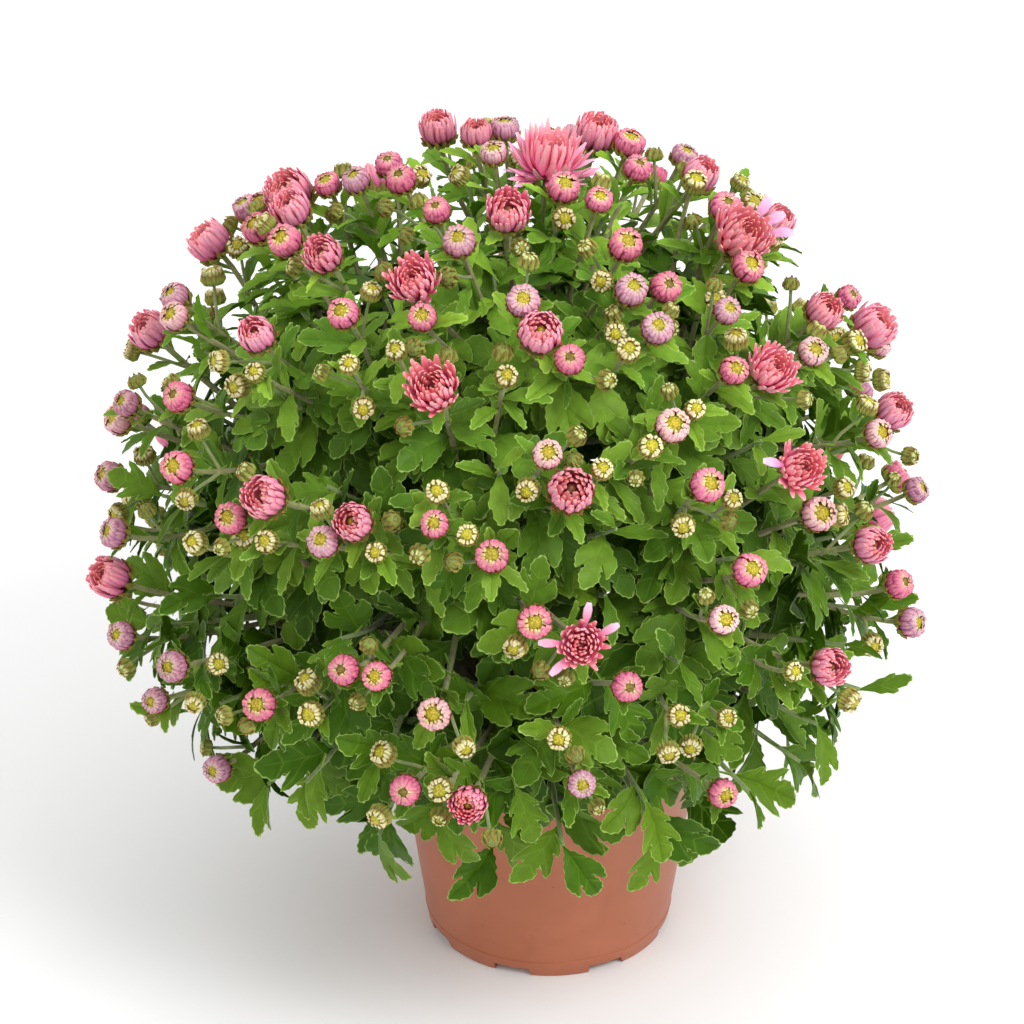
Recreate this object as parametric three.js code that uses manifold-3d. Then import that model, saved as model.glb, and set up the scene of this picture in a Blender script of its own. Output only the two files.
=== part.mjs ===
// Pot chrysanthemum: a globe of leafy, budded sprays growing from a root ball in a
// tapered plastic nursery pot. Millimetres, +Z up. The origin is the middle of the pot's
// underside, on the floor. Bearings turn from the front (-Y) towards +X, heights rise from
// the level of the globe's centre, both in degrees.

import * as THREE from "three";
import { ConvexGeometry } from "three/addons/geometries/ConvexGeometry.js";
import { mergeVertices } from "three/addons/utils/BufferGeometryUtils.js";
import Module from "manifold-3d";

const wasm = await Module();
wasm.setup();

// ---------------------------------------------------------------- driving dimensions

const GAP = 0.3; // clearance between pieces that touch

const POT_HEIGHT = 143;
const RIM_RADIUS = 95;
const FOOT_RADIUS = 72.5;
const POT_WALL = 2.2;
const RIM_BAND = 15; // height of the thicker band under the rim
const RIM_LEDGE = 2.6; // how far that band stands out from the wall
const POT_FLOOR = 7; // top of the pot's floor
const RECESS = 4; // the underside is hollow between the centre pad and the foot ring
const PAD_RADIUS = 20;
const FOOT_RING = 10; // width of the foot ring
const POT_SIDES = 30;
const NOTCHES = 8; // drainage notches round the foot
const NOTCH_WIDTH = 26;
const NOTCH_HEIGHT = 5;
const FIRST_NOTCH = -16; // bearing

const SOIL_TOP = 127;
const SOIL_SIDES = 20;

const LEAN = -22; // the globe's centre leans this far to the side of the pot's axis
const CENTRE_HEIGHT = 240;
const SPREAD = 232; // radius of the surface on which the flower heads sit
const CROWN = 246; // and its height above and below the centre
const SKIRT = 135;
const SHOULDER = 0.05; // how much fuller than an ellipsoid its shoulders are

const STEMS = 18;
const STEM_RADIUS = 2.8;
const STEM_HOLE = 4.8;
const STEM_HOLE_DEPTH = 8;
const STEM_FEET = [12, 58]; // how far from the middle the stems for crown and skirt stand
const STEM_RISE = 75; // each goes straight up at first
const STEM_REACH = 0.6; // it ends this far out on the globe, and the rest is side shoots
const CORE_REACH = [0.5, 0.78]; // between these its inner foliage is one dense mass
const STEM_ROOM = [118, 205]; // radius and height of the room in which no such mass hangs
const CORE_CORNERS = 6;
const SHOOT_RADIUS = 1.7;

const LEAF_THICKNESS = 0.9;
const LEAF_LENGTH = 58;
const LEAF_WIDTH = 46;
const CORE_LEAVES = 9; // on each stem, growing from its core
const SHOOT_LEAVES = 1; // and smaller ones further out on its shoots
const SMALLER = 0.8;
const LEAF_DROOP = 0.2; // how far its tip hangs, in leaf lengths
const LOW_LEAVES = 0.6; // how much larger the leaves grow towards the pot

const BACK_SITES = 118; // sites all over the globe, of which those behind carry heads

// Open blooms and half-open blooms: bearing, height, radius.
const OPEN = [
  [-26, 61, 13.5], [-14, 47, 14.3], [9, 17, 12.2], [47, 31, 13.1],
  [50, 43, 13.6], [77, 57, 16.7], [124, 84, 21.8],
];
const HALF_OPEN = [
  [-162, 76, 8.4], [-152, 68, 9.6], [-107, 43, 11.3], [-99, 59, 12.1], [-98, 31, 10.7],
  [-87, 60, 9.8], [-75, 5, 11.1], [-56, 60, 9], [-54, 47, 9.5], [-38, 30, 10.9],
  [-23, 30, 9.7], [-6, -8, 9], [-2, 76, 10.6], [6, 55, 11.3], [9, 36, 11.7],
  [47, 5, 9.6], [59, 17, 9.7], [74, 44, 9.7], [79, 27, 9.9], [96, 53, 9],
  [97, 32, 11.3], [106, 63, 9.9], [143, 70, 11.2],
];
// Closed pink heads and smaller cream buds: bearing, height.
const PINK = [
  [-174, 75], [-147, 86], [-113, 48], [-103, 54], [-102, 73], [-95, 65], [-91, 69],
  [-90, 21], [-90, 40], [-87, 14], [-87, 55], [-84, 26], [-82, 40], [-80, 75], [-74, 12],
  [-72, 58], [-69, -1], [-64, 35], [-59, -10], [-57, 28], [-52, 3], [-51, -26], [-43, 26],
  [-38, 54], [-38, 74], [-35, 4], [-27, 27], [-22, 12], [-20, 56], [-19, 69], [-18, 12],
  [-14, -6], [-11, 32], [-10, 8], [-3, 28], [3, 20], [3, 59], [6, 39], [9, -3], [11, 51],
  [15, 11], [27, 41], [29, 17], [30, -15], [30, 33], [30, 59], [31, 53], [34, 22],
  [38, 66], [39, 58], [42, 45], [43, 80], [48, 25], [49, 52], [50, 75], [62, 42],
  [65, 55], [67, 8], [69, 28], [77, -5], [86, 61], [87, 12], [90, 40], [97, 73],
  [102, 27], [124, 61], [131, 69],
];
const CREAM = [
  [-49, 21], [-49, 43], [-36, 25], [-31, 48], [-27, 5], [-23, 51], [-19, 27], [-11, 34],
  [-9, -5], [-6, 30], [-1, 49], [6, 5], [13, 37], [22, 6], [22, 39], [23, 51], [29, 4],
  [31, 42], [33, 31], [40, 7], [55, 26], [77, 38], [81, 55], [97, 65], [98, 56], [120, 52],
];
const PINK_RADIUS = 8.4;
const CREAM_RADIUS = 6.4;

// ---------------------------------------------------------------- where everything grows

const GOLDEN_TURN = 137.508; // degrees between one leaf, stem or site and the next
const TO_LIGHT = 0.45; // how far the heads in front lean to the light, against their own way
const radians = THREE.MathUtils.degToRad;
const globeCentre = new THREE.Vector3(LEAN, 0, CENTRE_HEIGHT);

// A fixed number between 0 and 1 for each pair of whole numbers.
function draw(i, j) {
  const x = Math.sin(i * 12.9898 + j * 78.233 + 4.1) * 43758.5453;
  return x - Math.floor(x);
}

function direction(bearing, height) {
  const b = radians(bearing);
  const h = radians(height);
  return new THREE.Vector3(Math.cos(h) * Math.sin(b), -Math.cos(h) * Math.cos(b), Math.sin(h));
}

// A point of the globe, where reach 1 is the surface of the flower heads.
function onGlobe(aim, reach) {
  const shoulder = SHOULDER * Math.sin(2 * Math.asin(Math.min(1, aim.z))) ** 2;
  const full = aim.z > 0 ? reach * (1 + shoulder) : reach;
  const size = new THREE.Vector3(SPREAD, SPREAD, aim.z > 0 ? CROWN : SKIRT);
  return aim.clone().multiply(size).multiplyScalar(full).add(globeCentre);
}

// Evenly spread sites on the globe between two heights, top first.
function sites(count, top, bottom, firstBearing) {
  const list = [];
  for (let k = 0; k < count; k++) {
    const level = top - ((top - bottom) * (k + 0.5)) / count;
    const bearing = (firstBearing + k * GOLDEN_TURN) % 360;
    list.push([bearing, THREE.MathUtils.radToDeg(Math.asin(level))]);
  }
  return list;
}

// Sites that nobody sees from the front carry heads like those in front.
function behind(bearing, height) {
  const h = radians(height);
  return Math.cos(h) * Math.cos(radians(bearing)) + 0.55 * Math.sin(h) < -0.1;
}

// A flower head faces outwards, and the lower it sits the more its stalk turns it up. Those
// in front also lean a little to the light.
function makeHead(bearing, height, kind, radius, key) {
  const turn = bearing + 24 * (draw(key, 1) - 0.5);
  const tilt = Math.min(80, 24 + 0.62 * height + 16 * (draw(key, 2) - 0.5));
  const aim = direction(bearing, height);
  const axis = direction(turn, tilt);
  if (!behind(bearing, height)) axis.addScaledVector(direction(0, 20), TO_LIGHT).normalize();
  return { kind, radius, key, aim, at: onGlobe(aim, 1), axis };
}

function allHeads() {
  const heads = [];
  const add = (bearing, height, kind, radius) =>
    heads.push(makeHead(bearing, height, kind, radius, heads.length));
  OPEN.forEach(([bearing, height, radius]) => add(bearing, height, "open", radius));
  HALF_OPEN.forEach(([bearing, height, radius]) => add(bearing, height, "half", radius));
  PINK.forEach(([bearing, height]) => add(bearing, height, "pink", PINK_RADIUS));
  CREAM.forEach(([bearing, height]) => add(bearing, height, "cream", CREAM_RADIUS));
  sites(BACK_SITES, 0.95, -0.3, 40).forEach(([bearing, height], k) => {
    if (!behind(bearing, height)) return;
    if (k % 5 === 0) add(bearing, height, "half", 9 + 2.5 * draw(k, 3));
    else if (k % 4 === 1) add(bearing, height, "cream", CREAM_RADIUS);
    else add(bearing, height, "pink", PINK_RADIUS);
  });
  return heads;
}

// Heads that would touch are pushed apart, a little at a time.
function spreadApart(heads) {
  for (let round = 0; round < 12; round++)
    for (let i = 0; i < heads.length; i++)
      for (let j = i + 1; j < heads.length; j++) {
        const apart = heads[j].at.clone().sub(heads[i].at);
        const wanted = 0.95 * (heads[i].radius + heads[j].radius) + 2.5;
        const distance = apart.length();
        if (distance >= wanted) continue;
        apart.multiplyScalar((0.5 * (wanted - distance)) / distance);
        heads[i].at.sub(apart);
        heads[j].at.add(apart);
      }
}

// Each stem rises from its own place in the soil and leans out to its part of the globe.
function makeStem([bearing, height]) {
  const aim = direction(bearing, height);
  const tip = onGlobe(aim, STEM_REACH);
  const out = tip.clone().sub(globeCentre).normalize();
  const away = THREE.MathUtils.mapLinear(height, 90, -30, ...STEM_FEET);
  const foot = direction(bearing, 0).multiplyScalar(away);
  foot.z = SOIL_TOP - STEM_HOLE_DEPTH + GAP;
  const rise = foot.clone().add(new THREE.Vector3(0, 0, STEM_RISE));
  const bend = tip.clone().addScaledVector(out, -45);
  return { aim, out, path: new THREE.CubicBezierCurve3(foot, rise, bend, tip) };
}

// The stem whose part of the globe holds a point.
function ownerOf(point, stems) {
  const reach = point.clone().sub(globeCentre);
  let best = stems[0];
  for (const stem of stems) if (reach.dot(stem.out) > reach.dot(best.out)) best = stem;
  return best;
}

// True where a point is this far inside its stem's part, and clear of the pot.
function keepsIn(point, stem, stems, margin) {
  const fromPot = Math.hypot(point.x, point.y) - RIM_RADIUS;
  if (fromPot < 6 && point.z < POT_HEIGHT + 3) return false;
  const reach = point.clone().sub(globeCentre);
  return stems.every((other) => {
    const across = stem.out.clone().sub(other.out);
    return other === stem || reach.dot(across) >= margin * across.length();
  });
}

// The corners of a stem's part of the globe, as directions round its own.
function cornersOf(stem, stems) {
  const side = new THREE.Vector3(0.3, 0.2, 1).cross(stem.aim).normalize();
  return Array.from({ length: CORE_CORNERS }, (_, k) => {
    const turned = side.clone().applyAxisAngle(stem.aim, (k / CORE_CORNERS) * 2 * Math.PI);
    let corner = stem.aim;
    for (let spread = 0.05; spread < 0.75; spread += 0.02) {
      const next = stem.aim.clone().addScaledVector(turned, spread).normalize();
      const edge = onGlobe(next, CORE_REACH[1]);
      const overStems = Math.hypot(edge.x, edge.y) < STEM_ROOM[0] && edge.z < STEM_ROOM[1];
      if (overStems || !keepsIn(edge, stem, stems, 1.5)) break;
      corner = next;
    }
    return corner;
  });
}

// ---------------------------------------------------------------- geometry helpers

function solid(geometry, matrix) {
  const plain = geometry.index ? geometry.toNonIndexed() : geometry.clone();
  if (matrix) plain.applyMatrix4(matrix);
  plain.deleteAttribute("normal");
  plain.deleteAttribute("uv");
  const merged = mergeVertices(plain, 1e-3);
  const vertProperties = merged.attributes.position.array;
  const triVerts = new Uint32Array(merged.index.array);
  return new wasm.Manifold(new wasm.Mesh({ numProp: 3, vertProperties, triVerts }));
}

// Pieces fused into one body. A pocket that they close is filled.
function fused(pieces) {
  const bodies = wasm.Manifold.union(pieces).decompose();
  return bodies.reduce((most, body) => (body.volume() > most.volume() ? body : most));
}

function geometryOf(manifold) {
  const { vertProperties, triVerts } = manifold.getMesh();
  const geometry = new THREE.BufferGeometry();
  geometry.setAttribute("position", new THREE.BufferAttribute(vertProperties, 3));
  geometry.setIndex(new THREE.BufferAttribute(triVerts, 1));
  return geometry;
}

// A matrix that puts +Z along an axis, and +X as near as it can to a second direction.
function frameAt(origin, axis, towards) {
  const z = axis.clone().normalize();
  const x = towards.clone().addScaledVector(z, -towards.dot(z)).normalize();
  const y = z.clone().cross(x);
  return new THREE.Matrix4().makeBasis(x, y, z).setPosition(origin);
}

function polygon(radius, sides) {
  const corners = [];
  for (let k = 0; k < sides; k++) {
    const angle = (k / sides) * 2 * Math.PI;
    corners.push(new THREE.Vector2(radius * Math.cos(angle), radius * Math.sin(angle)));
  }
  return new THREE.Shape(corners);
}

function rod(path, radius, sides, steps) {
  const options = { steps, bevelEnabled: false, extrudePath: path };
  return solid(new THREE.ExtrudeGeometry(polygon(radius, sides), options));
}

// A turned body whose every second edge is drawn in, as petals and bracts draw in. From
// the profile's point numbered swap on, the other edges are, for a layer set between them.
function ribbed(profile, ribs, grooves, swap = profile.length) {
  const points = profile.map(([radius, z]) => new THREE.Vector2(radius, z));
  const geometry = new THREE.LatheGeometry(points, 2 * ribs);
  const position = geometry.attributes.position;
  for (let k = 0; k < position.count; k++) {
    const x = position.getX(k);
    const z = position.getZ(k);
    const edge = Math.round((Math.atan2(x, z) / Math.PI) * ribs);
    const layer = k % profile.length >= swap ? 1 : 0;
    if ((edge + layer) % 2 !== 0) position.setX(k, x * grooves).setZ(k, z * grooves);
  }
  return geometry.rotateX(Math.PI / 2);
}

// ---------------------------------------------------------------- pot and soil

function potWall(height) {
  const share = height / POT_HEIGHT;
  return FOOT_RADIUS + (RIM_RADIUS - RIM_LEDGE - FOOT_RADIUS) * share;
}

// One injection-moulded shell: pad, recess, foot ring, wall, thicker band and rim.
function makePot() {
  const band = POT_HEIGHT - RIM_BAND;
  const profile = [
    [0, 0], [PAD_RADIUS, 0], [PAD_RADIUS + 3, RECESS],
    [FOOT_RADIUS - FOOT_RING - 3, RECESS], [FOOT_RADIUS - FOOT_RING, 0], [FOOT_RADIUS, 0],
    [potWall(band), band], [RIM_RADIUS - 0.8, band + 2], [RIM_RADIUS, POT_HEIGHT],
    [RIM_RADIUS - RIM_LEDGE - POT_WALL, POT_HEIGHT],
    [potWall(POT_FLOOR) - POT_WALL, POT_FLOOR], [0, POT_FLOOR],
  ];
  const points = profile.map(([radius, z]) => new THREE.Vector2(radius, z));
  let pot = solid(new THREE.LatheGeometry(points, POT_SIDES).rotateX(Math.PI / 2));
  for (let k = 0; k < NOTCHES; k++) {
    const outward = direction(FIRST_NOTCH + (k * 360) / NOTCHES, 0);
    const cutter = new THREE.BoxGeometry(2 * FOOT_RING + 4, NOTCH_WIDTH, 2 * NOTCH_HEIGHT);
    const place = outward.clone().multiplyScalar(FOOT_RADIUS);
    pot = pot.subtract(solid(cutter, frameAt(place, new THREE.Vector3(0, 0, 1), outward)));
  }
  return pot;
}

// The root ball fills the pot to below the rim, with a plain hole for each stem.
function makeSoil(stems) {
  const bottom = POT_FLOOR + GAP;
  const inside = (z) => potWall(z) - POT_WALL - GAP - 0.5;
  const profile = [
    [0, bottom], [inside(bottom), bottom], [inside(SOIL_TOP - 3), SOIL_TOP - 3],
    [0.7 * RIM_RADIUS, SOIL_TOP], [0, SOIL_TOP],
  ];
  const points = profile.map(([radius, z]) => new THREE.Vector2(radius, z));
  let soil = solid(new THREE.LatheGeometry(points, SOIL_SIDES).rotateX(Math.PI / 2));
  for (const stem of stems) {
    const hole = new THREE.CylinderGeometry(STEM_HOLE, STEM_HOLE, 2 * STEM_HOLE_DEPTH, 5);
    hole.rotateX(Math.PI / 2);
    const { x, y } = stem.path.v0;
    soil = soil.subtract(solid(hole, new THREE.Matrix4().makeTranslation(x, y, SOIL_TOP)));
  }
  return soil;
}

// ---------------------------------------------------------------- leaves

// A three-lobed leaf pointing along +X with its root at the origin, facing +Z.
function leafGeometry() {
  const half = LEAF_WIDTH / 2;
  const outline = [
    [-3, -2], [0.34, -1], [0.55, -0.5], [1, 0], [0.55, 0.5], [0.34, 1], [-3, 2],
  ].map(([along, across], k) =>
    k === 0 || k === 6
      ? new THREE.Vector2(along, across)
      : new THREE.Vector2(along * LEAF_LENGTH, across * half),
  );
  const options = { depth: LEAF_THICKNESS, bevelEnabled: false };
  const geometry = new THREE.ExtrudeGeometry(new THREE.Shape(outline), options);
  const position = geometry.attributes.position;
  for (let k = 0; k < position.count; k++) {
    const along = Math.max(0, position.getX(k) / LEAF_LENGTH);
    position.setZ(k, position.getZ(k) - LEAF_DROOP * LEAF_LENGTH * along ** 2);
  }
  return geometry;
}

const leafShape = leafGeometry();

// True where none of a list of round obstacles reaches a leaf's blade.
function leafIsFree(matrix, obstacles) {
  const inverse = matrix.clone().invert();
  return obstacles.every(({ at, radius }) => {
    const { x, y, z } = at.clone().applyMatrix4(inverse);
    const blade = -LEAF_DROOP * LEAF_LENGTH * Math.max(0, x / LEAF_LENGTH) ** 2;
    const beside = Math.abs(y) > 0.5 * LEAF_WIDTH + radius;
    return beside || x < 8 || x > LEAF_LENGTH + radius || Math.abs(z - blade) > radius + 1.5;
  });
}

// ---------------------------------------------------------------- flower heads

// Profiles are in radii of the head, from the end of its shoot up.
const BASE = -0.6;
const CLOSED = [[0, BASE], [1, 0.1], [0.5, 0.6], [0, 0.42]];
const BUD = [[0, BASE], [0.85, -0.2], [0.85, 0.25], [0, 0.35]];
const HALF = [[0, BASE], [0.97, 0.35], [0.45, 0.75], [0, 0.45]];
const SPREAD_OUT = [
  [0, BASE], [1, 0.14], [0.98, 0.22], [0.4, 0.2], [0.8, 0.5], [0.74, 0.58], [0.3, 0.55], [0, 0.66],
];
const SECOND_LAYER = 3; // the point of that profile where its inner petals start

function headPart(head, profile, ribs, grooves, swap) {
  const matrix = frameAt(head.at, head.axis, new THREE.Vector3(0.3, 0.2, 1));
  const size = profile.map(([radius, z]) => [radius * head.radius, z * head.radius]);
  return solid(ribbed(size, ribs, grooves, swap), matrix);
}

const openBloom = (head) => headPart(head, SPREAD_OUT, 8, 0.64, SECOND_LAYER);
const halfOpenBloom = (head) => headPart(head, HALF, 5, 0.84);
const closedHead = (head) =>
  head.kind === "pink" ? headPart(head, CLOSED, 3, 0.86) : headPart(head, BUD, 3, 0.9);

// ---------------------------------------------------------------- leafy stems

const isBloom = (head) => head.kind === "open" || head.kind === "half";

// A shoot leaves the core of its stem and arrives at its head along the head's axis. It
// runs into a bud, and stops just short of a bloom.
function shootTo(head, stems) {
  const stem = ownerOf(head.at, stems);
  const depth = isBloom(head) ? BASE * head.radius - GAP : 0;
  const end = head.at.clone().addScaledVector(head.axis, depth);
  const from = onGlobe(head.aim.clone().lerp(stem.aim, 0.45).normalize(), CORE_REACH[1] - 0.1);
  const bend = end.clone().addScaledVector(head.axis, -0.4 * from.distanceTo(end));
  return { stem, head, path: new THREE.QuadraticBezierCurve3(from, bend, end) };
}

// Round obstacles along a line, close enough together that no blade slips between.
function obstaclesAlong(from, to, radius) {
  const count = Math.ceil(from.distanceTo(to) / 6);
  const at = (k) => from.clone().lerp(to, k / count);
  return Array.from({ length: count + 1 }, (_, k) => ({ at: at(k), radius }));
}

// A leaf that grows at a root, towards a side and as far outwards as its rise says. The
// lower it sits, the larger it is and the more it hangs, the lowest over the pot's rim.
function leafAt(root, side, turn, rise, size) {
  const out = root.clone().sub(globeCentre).normalize();
  const along = side.clone().addScaledVector(out, -side.dot(out)).normalize();
  along.applyAxisAngle(out, turn).addScaledVector(out, rise);
  along.z -= 0.2 + 1.3 * Math.max(0, 0.4 - out.z);
  along.normalize();
  const face = out.clone();
  face.z += 0.4;
  face.addScaledVector(along, -face.dot(along)).normalize();
  const grown = size * (1 + LOW_LEAVES * Math.max(0, -out.z));
  const matrix = new THREE.Matrix4().makeBasis(along, face.clone().cross(along), face);
  return matrix.scale(new THREE.Vector3(grown, grown, 1)).setPosition(root);
}

function leafKeepsIn(matrix, stem, stems) {
  const position = leafShape.attributes.position;
  for (let k = 0; k < position.count; k++) {
    const corner = new THREE.Vector3().fromBufferAttribute(position, k);
    if (!keepsIn(corner.applyMatrix4(matrix), stem, stems, 1.5)) return false;
  }
  return true;
}

// Where leaves may grow on a stem: all over its core, the outermost first, then on shoots.
function leafRoots(stem, corners, own) {
  const roots = [];
  const middle = onGlobe(stem.aim, CORE_REACH[1]);
  for (const share of [0.8, 0.5, 0.2])
    for (const corner of corners) {
      const root = onGlobe(stem.aim.clone().lerp(corner, share).normalize(), CORE_REACH[1] - 0.05);
      roots.push({ root, side: root.clone().sub(middle), rise: 0.75, size: 1, tier: 0 });
    }
  for (const { path } of own) {
    const [, bend, end] = path.getSpacedPoints(2);
    const side = new THREE.Vector3(1, 0, 0.4);
    roots.push({ root: bend.lerp(end, 0.15), side, rise: 0.45, size: SMALLER, tier: 1 });
  }
  return roots;
}

// Each leaf is turned to where it has room, and left out where it has none.
function leavesOf(stem, corners, stems, own, heads) {
  const taken = heads.map((head) => ({ at: head.at, radius: head.radius + 1.5 }));
  for (const { path } of own) {
    const [from, bend, end] = path.getSpacedPoints(2);
    taken.push(...obstaclesAlong(from, bend, SHOOT_RADIUS));
    taken.push(...obstaclesAlong(bend, end, SHOOT_RADIUS));
  }
  const leaves = [];
  const room = [CORE_LEAVES, SHOOT_LEAVES];
  for (const { root, side, rise, size, tier } of leafRoots(stem, corners, own))
    for (const turn of [0, 0.8, -0.8, 1.6, -1.6, 2.4, -2.4]) {
      if (room[tier] === 0) break;
      const matrix = leafAt(root, side, turn, rise, size);
      if (!leafKeepsIn(matrix, stem, stems) || !leafIsFree(matrix, taken)) continue;
      leaves.push(solid(leafShape, matrix));
      room[tier] -= 1;
      const tip = new THREE.Vector3(1, 0, -LEAF_DROOP).multiplyScalar(LEAF_LENGTH);
      tip.applyMatrix4(matrix);
      for (const aside of [-0.35, 0, 0.35]) {
        const lobe = new THREE.Vector3(0.5 * LEAF_LENGTH, aside * LEAF_WIDTH, 0);
        taken.push(...obstaclesAlong(lobe.applyMatrix4(matrix), tip, 1));
      }
      break;
    }
  return leaves;
}

function leafyStem(stem, stems, shoots, heads) {
  const own = shoots.filter((shoot) => shoot.stem === stem);
  const corners = cornersOf(stem, stems);
  const rims = CORE_REACH.map((reach) => corners.map((corner) => onGlobe(corner, reach)));
  const core = solid(new ConvexGeometry([...rims.flat(), onGlobe(stem.aim, CORE_REACH[1])]));
  const pieces = [rod(stem.path, STEM_RADIUS, 5, 4), core];
  for (const { path, head } of own) {
    pieces.push(rod(path, SHOOT_RADIUS, 3, 2));
    if (!isBloom(head)) pieces.push(closedHead(head));
  }
  pieces.push(...leavesOf(stem, corners, stems, own, heads));
  return fused(pieces);
}

// ---------------------------------------------------------------- the plant

const material = (color, roughness) =>
  new THREE.MeshStandardMaterial({ color, roughness, metalness: 0 });
const FINISH = {
  pot: [0xae6e55, 0.55],
  soil: [0x2b2018, 0.95],
  leafy: [0x3f7f2a, 0.6],
  bloom: [0xd9607f, 0.55],
};

const plant = new THREE.Group();

function addPiece(name, manifold, finish) {
  const mesh = new THREE.Mesh(geometryOf(manifold), material(...FINISH[finish]));
  mesh.name = name;
  plant.add(mesh);
}

const heads = allHeads();
spreadApart(heads);
const stems = sites(STEMS, 1, -0.62, 20).map(makeStem);
// Every bloom is here, with every second closed head and every third cream bud.
const shown = heads.filter(
  ({ kind, key }) => !(kind === "pink" && key % 2) && !(kind === "cream" && key % 3),
);
const shoots = shown.map((head) => shootTo(head, stems));
const two = (number) => String(number).padStart(2, "0");

addPiece("pot", makePot(), "pot");
addPiece("soil", makeSoil(stems), "soil");
stems.forEach((stem, k) =>
  addPiece(`leafy_stem_${two(k + 1)}`, leafyStem(stem, stems, shoots, shown), "leafy"),
);
heads.filter(isBloom).forEach((head, k) => {
  const bloom = head.kind === "open" ? openBloom(head) : halfOpenBloom(head);
  addPiece(`bloom_${two(k + 1)}`, bloom, "bloom");
});

export default plant;
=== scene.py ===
import math

import bpy
import numpy as np
from mathutils import Matrix, Vector


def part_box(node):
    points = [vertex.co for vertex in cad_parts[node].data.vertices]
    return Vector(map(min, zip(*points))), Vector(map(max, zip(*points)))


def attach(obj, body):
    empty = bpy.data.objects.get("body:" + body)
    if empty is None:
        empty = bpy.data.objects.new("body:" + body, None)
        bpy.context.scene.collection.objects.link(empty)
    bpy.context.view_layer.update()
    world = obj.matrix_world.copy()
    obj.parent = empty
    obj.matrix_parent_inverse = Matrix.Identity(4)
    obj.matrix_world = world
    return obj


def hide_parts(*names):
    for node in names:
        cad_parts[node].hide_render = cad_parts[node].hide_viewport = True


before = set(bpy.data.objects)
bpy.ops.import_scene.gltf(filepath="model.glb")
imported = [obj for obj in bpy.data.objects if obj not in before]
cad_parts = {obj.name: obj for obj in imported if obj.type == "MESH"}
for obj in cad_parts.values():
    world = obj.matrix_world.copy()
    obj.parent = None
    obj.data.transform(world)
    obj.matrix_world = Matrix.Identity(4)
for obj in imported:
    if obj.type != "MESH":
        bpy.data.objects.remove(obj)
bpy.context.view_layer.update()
bpy.ops.object.select_all(action="DESELECT")

# Pot.
# A round nursery pot, injection-moulded in one shot of terracotta brown polypropylene. It
# stands on a foot ring that is notched for drainage, under a hollow with a pad in its middle.

MM = 0.001
POT_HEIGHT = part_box("pot")[1].z / MM
RIM_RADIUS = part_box("pot")[1].y / MM
FOOT_RADIUS = 72.5
FOOT_RING = 10
FOOT_STEP = 10.5  # a mould line round the foot, at this height
RECESS = 4
PAD_RADIUS = 20
POT_WALL = 2.2
POT_FLOOR = 7
RIM_BAND = 15
RIM_LEDGE = 2.6
NOTCHES = 8
NOTCH_WIDTH = 26
NOTCH_HEIGHT = 5
FIRST_NOTCH = -16  # bearing from the front (-Y) towards +X, in degrees
MOULD_SWIRL = 34  # the colourant's streaks, millimetres across
MOULD_GRAIN = 0.5  # the blasted mould's texture
SPECK_SPACING = 9
SPECK_SHARE = 0.045  # the radius of a speck, in spacings


def turned(name, profile, sides):
    """A turned wall: a ring at the profile's first point is drawn on to each of the rest."""
    (radius, height), *rest = profile
    bpy.ops.mesh.primitive_circle_add(
        vertices=sides, radius=radius * MM, location=(0, 0, height * MM), fill_type="NGON")
    piece = bpy.context.object
    piece.name = name
    bpy.ops.object.transform_apply(location=True, rotation=False, scale=False)
    bpy.ops.object.mode_set(mode="EDIT")
    bpy.ops.mesh.select_all(action="SELECT")
    for next_radius, next_height in rest:
        rise = (0, 0, (next_height - height) * MM)
        bpy.ops.mesh.extrude_region_move(TRANSFORM_OT_translate={"value": rise})
        grown = next_radius / radius
        bpy.ops.transform.resize(value=(grown, grown, 1), center_override=(0, 0, next_height * MM))
        radius, height = next_radius, next_height
    bpy.ops.mesh.select_all(action="SELECT")
    bpy.ops.mesh.normals_make_consistent(inside=False)
    bpy.ops.object.mode_set(mode="OBJECT")
    return piece


def smoothed(piece, degrees):
    """Rounds the shading over every edge that turns by less than this."""
    bpy.ops.object.select_all(action="DESELECT")
    bpy.context.view_layer.objects.active = piece
    piece.select_set(True)
    bpy.ops.object.shade_smooth_by_angle(angle=math.radians(degrees))
    piece.select_set(False)


def placed(piece, slot, *nodes):
    """The piece rides on the plant's one body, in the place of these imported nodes."""
    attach(piece, "root")
    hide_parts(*nodes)


def pot_wall(height):
    share = height / POT_HEIGHT
    return FOOT_RADIUS + (RIM_RADIUS - RIM_LEDGE - FOOT_RADIUS) * share


band = POT_HEIGHT - RIM_BAND
inner_foot = FOOT_RADIUS - FOOT_RING
pot = turned("nursery_pot", [
    (PAD_RADIUS, 0), (PAD_RADIUS + 3, RECESS), (inner_foot - 3, RECESS), (inner_foot, 0),
    (FOOT_RADIUS - 1.2, 0), (FOOT_RADIUS - 0.4, 0.3), (FOOT_RADIUS, 1),
    (pot_wall(FOOT_STEP) + 0.35, FOOT_STEP - 0.2), (pot_wall(FOOT_STEP) - 0.05, FOOT_STEP + 0.1),
    (pot_wall(40), 40), (pot_wall(80), 80), (pot_wall(band - 0.6), band - 0.6),
    (pot_wall(band) + 0.5, band), (RIM_RADIUS - 1.5, band + 1), (RIM_RADIUS - 0.8, band + 2),
    (RIM_RADIUS - 0.1, POT_HEIGHT - 1), (RIM_RADIUS - 0.4, POT_HEIGHT - 0.2),
    (RIM_RADIUS - 1, POT_HEIGHT), (RIM_RADIUS - RIM_LEDGE - POT_WALL, POT_HEIGHT - 0.2),
    (pot_wall(band) - POT_WALL, band), (pot_wall(POT_FLOOR) - POT_WALL, POT_FLOOR),
    (1, POT_FLOOR)], 120)
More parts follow.
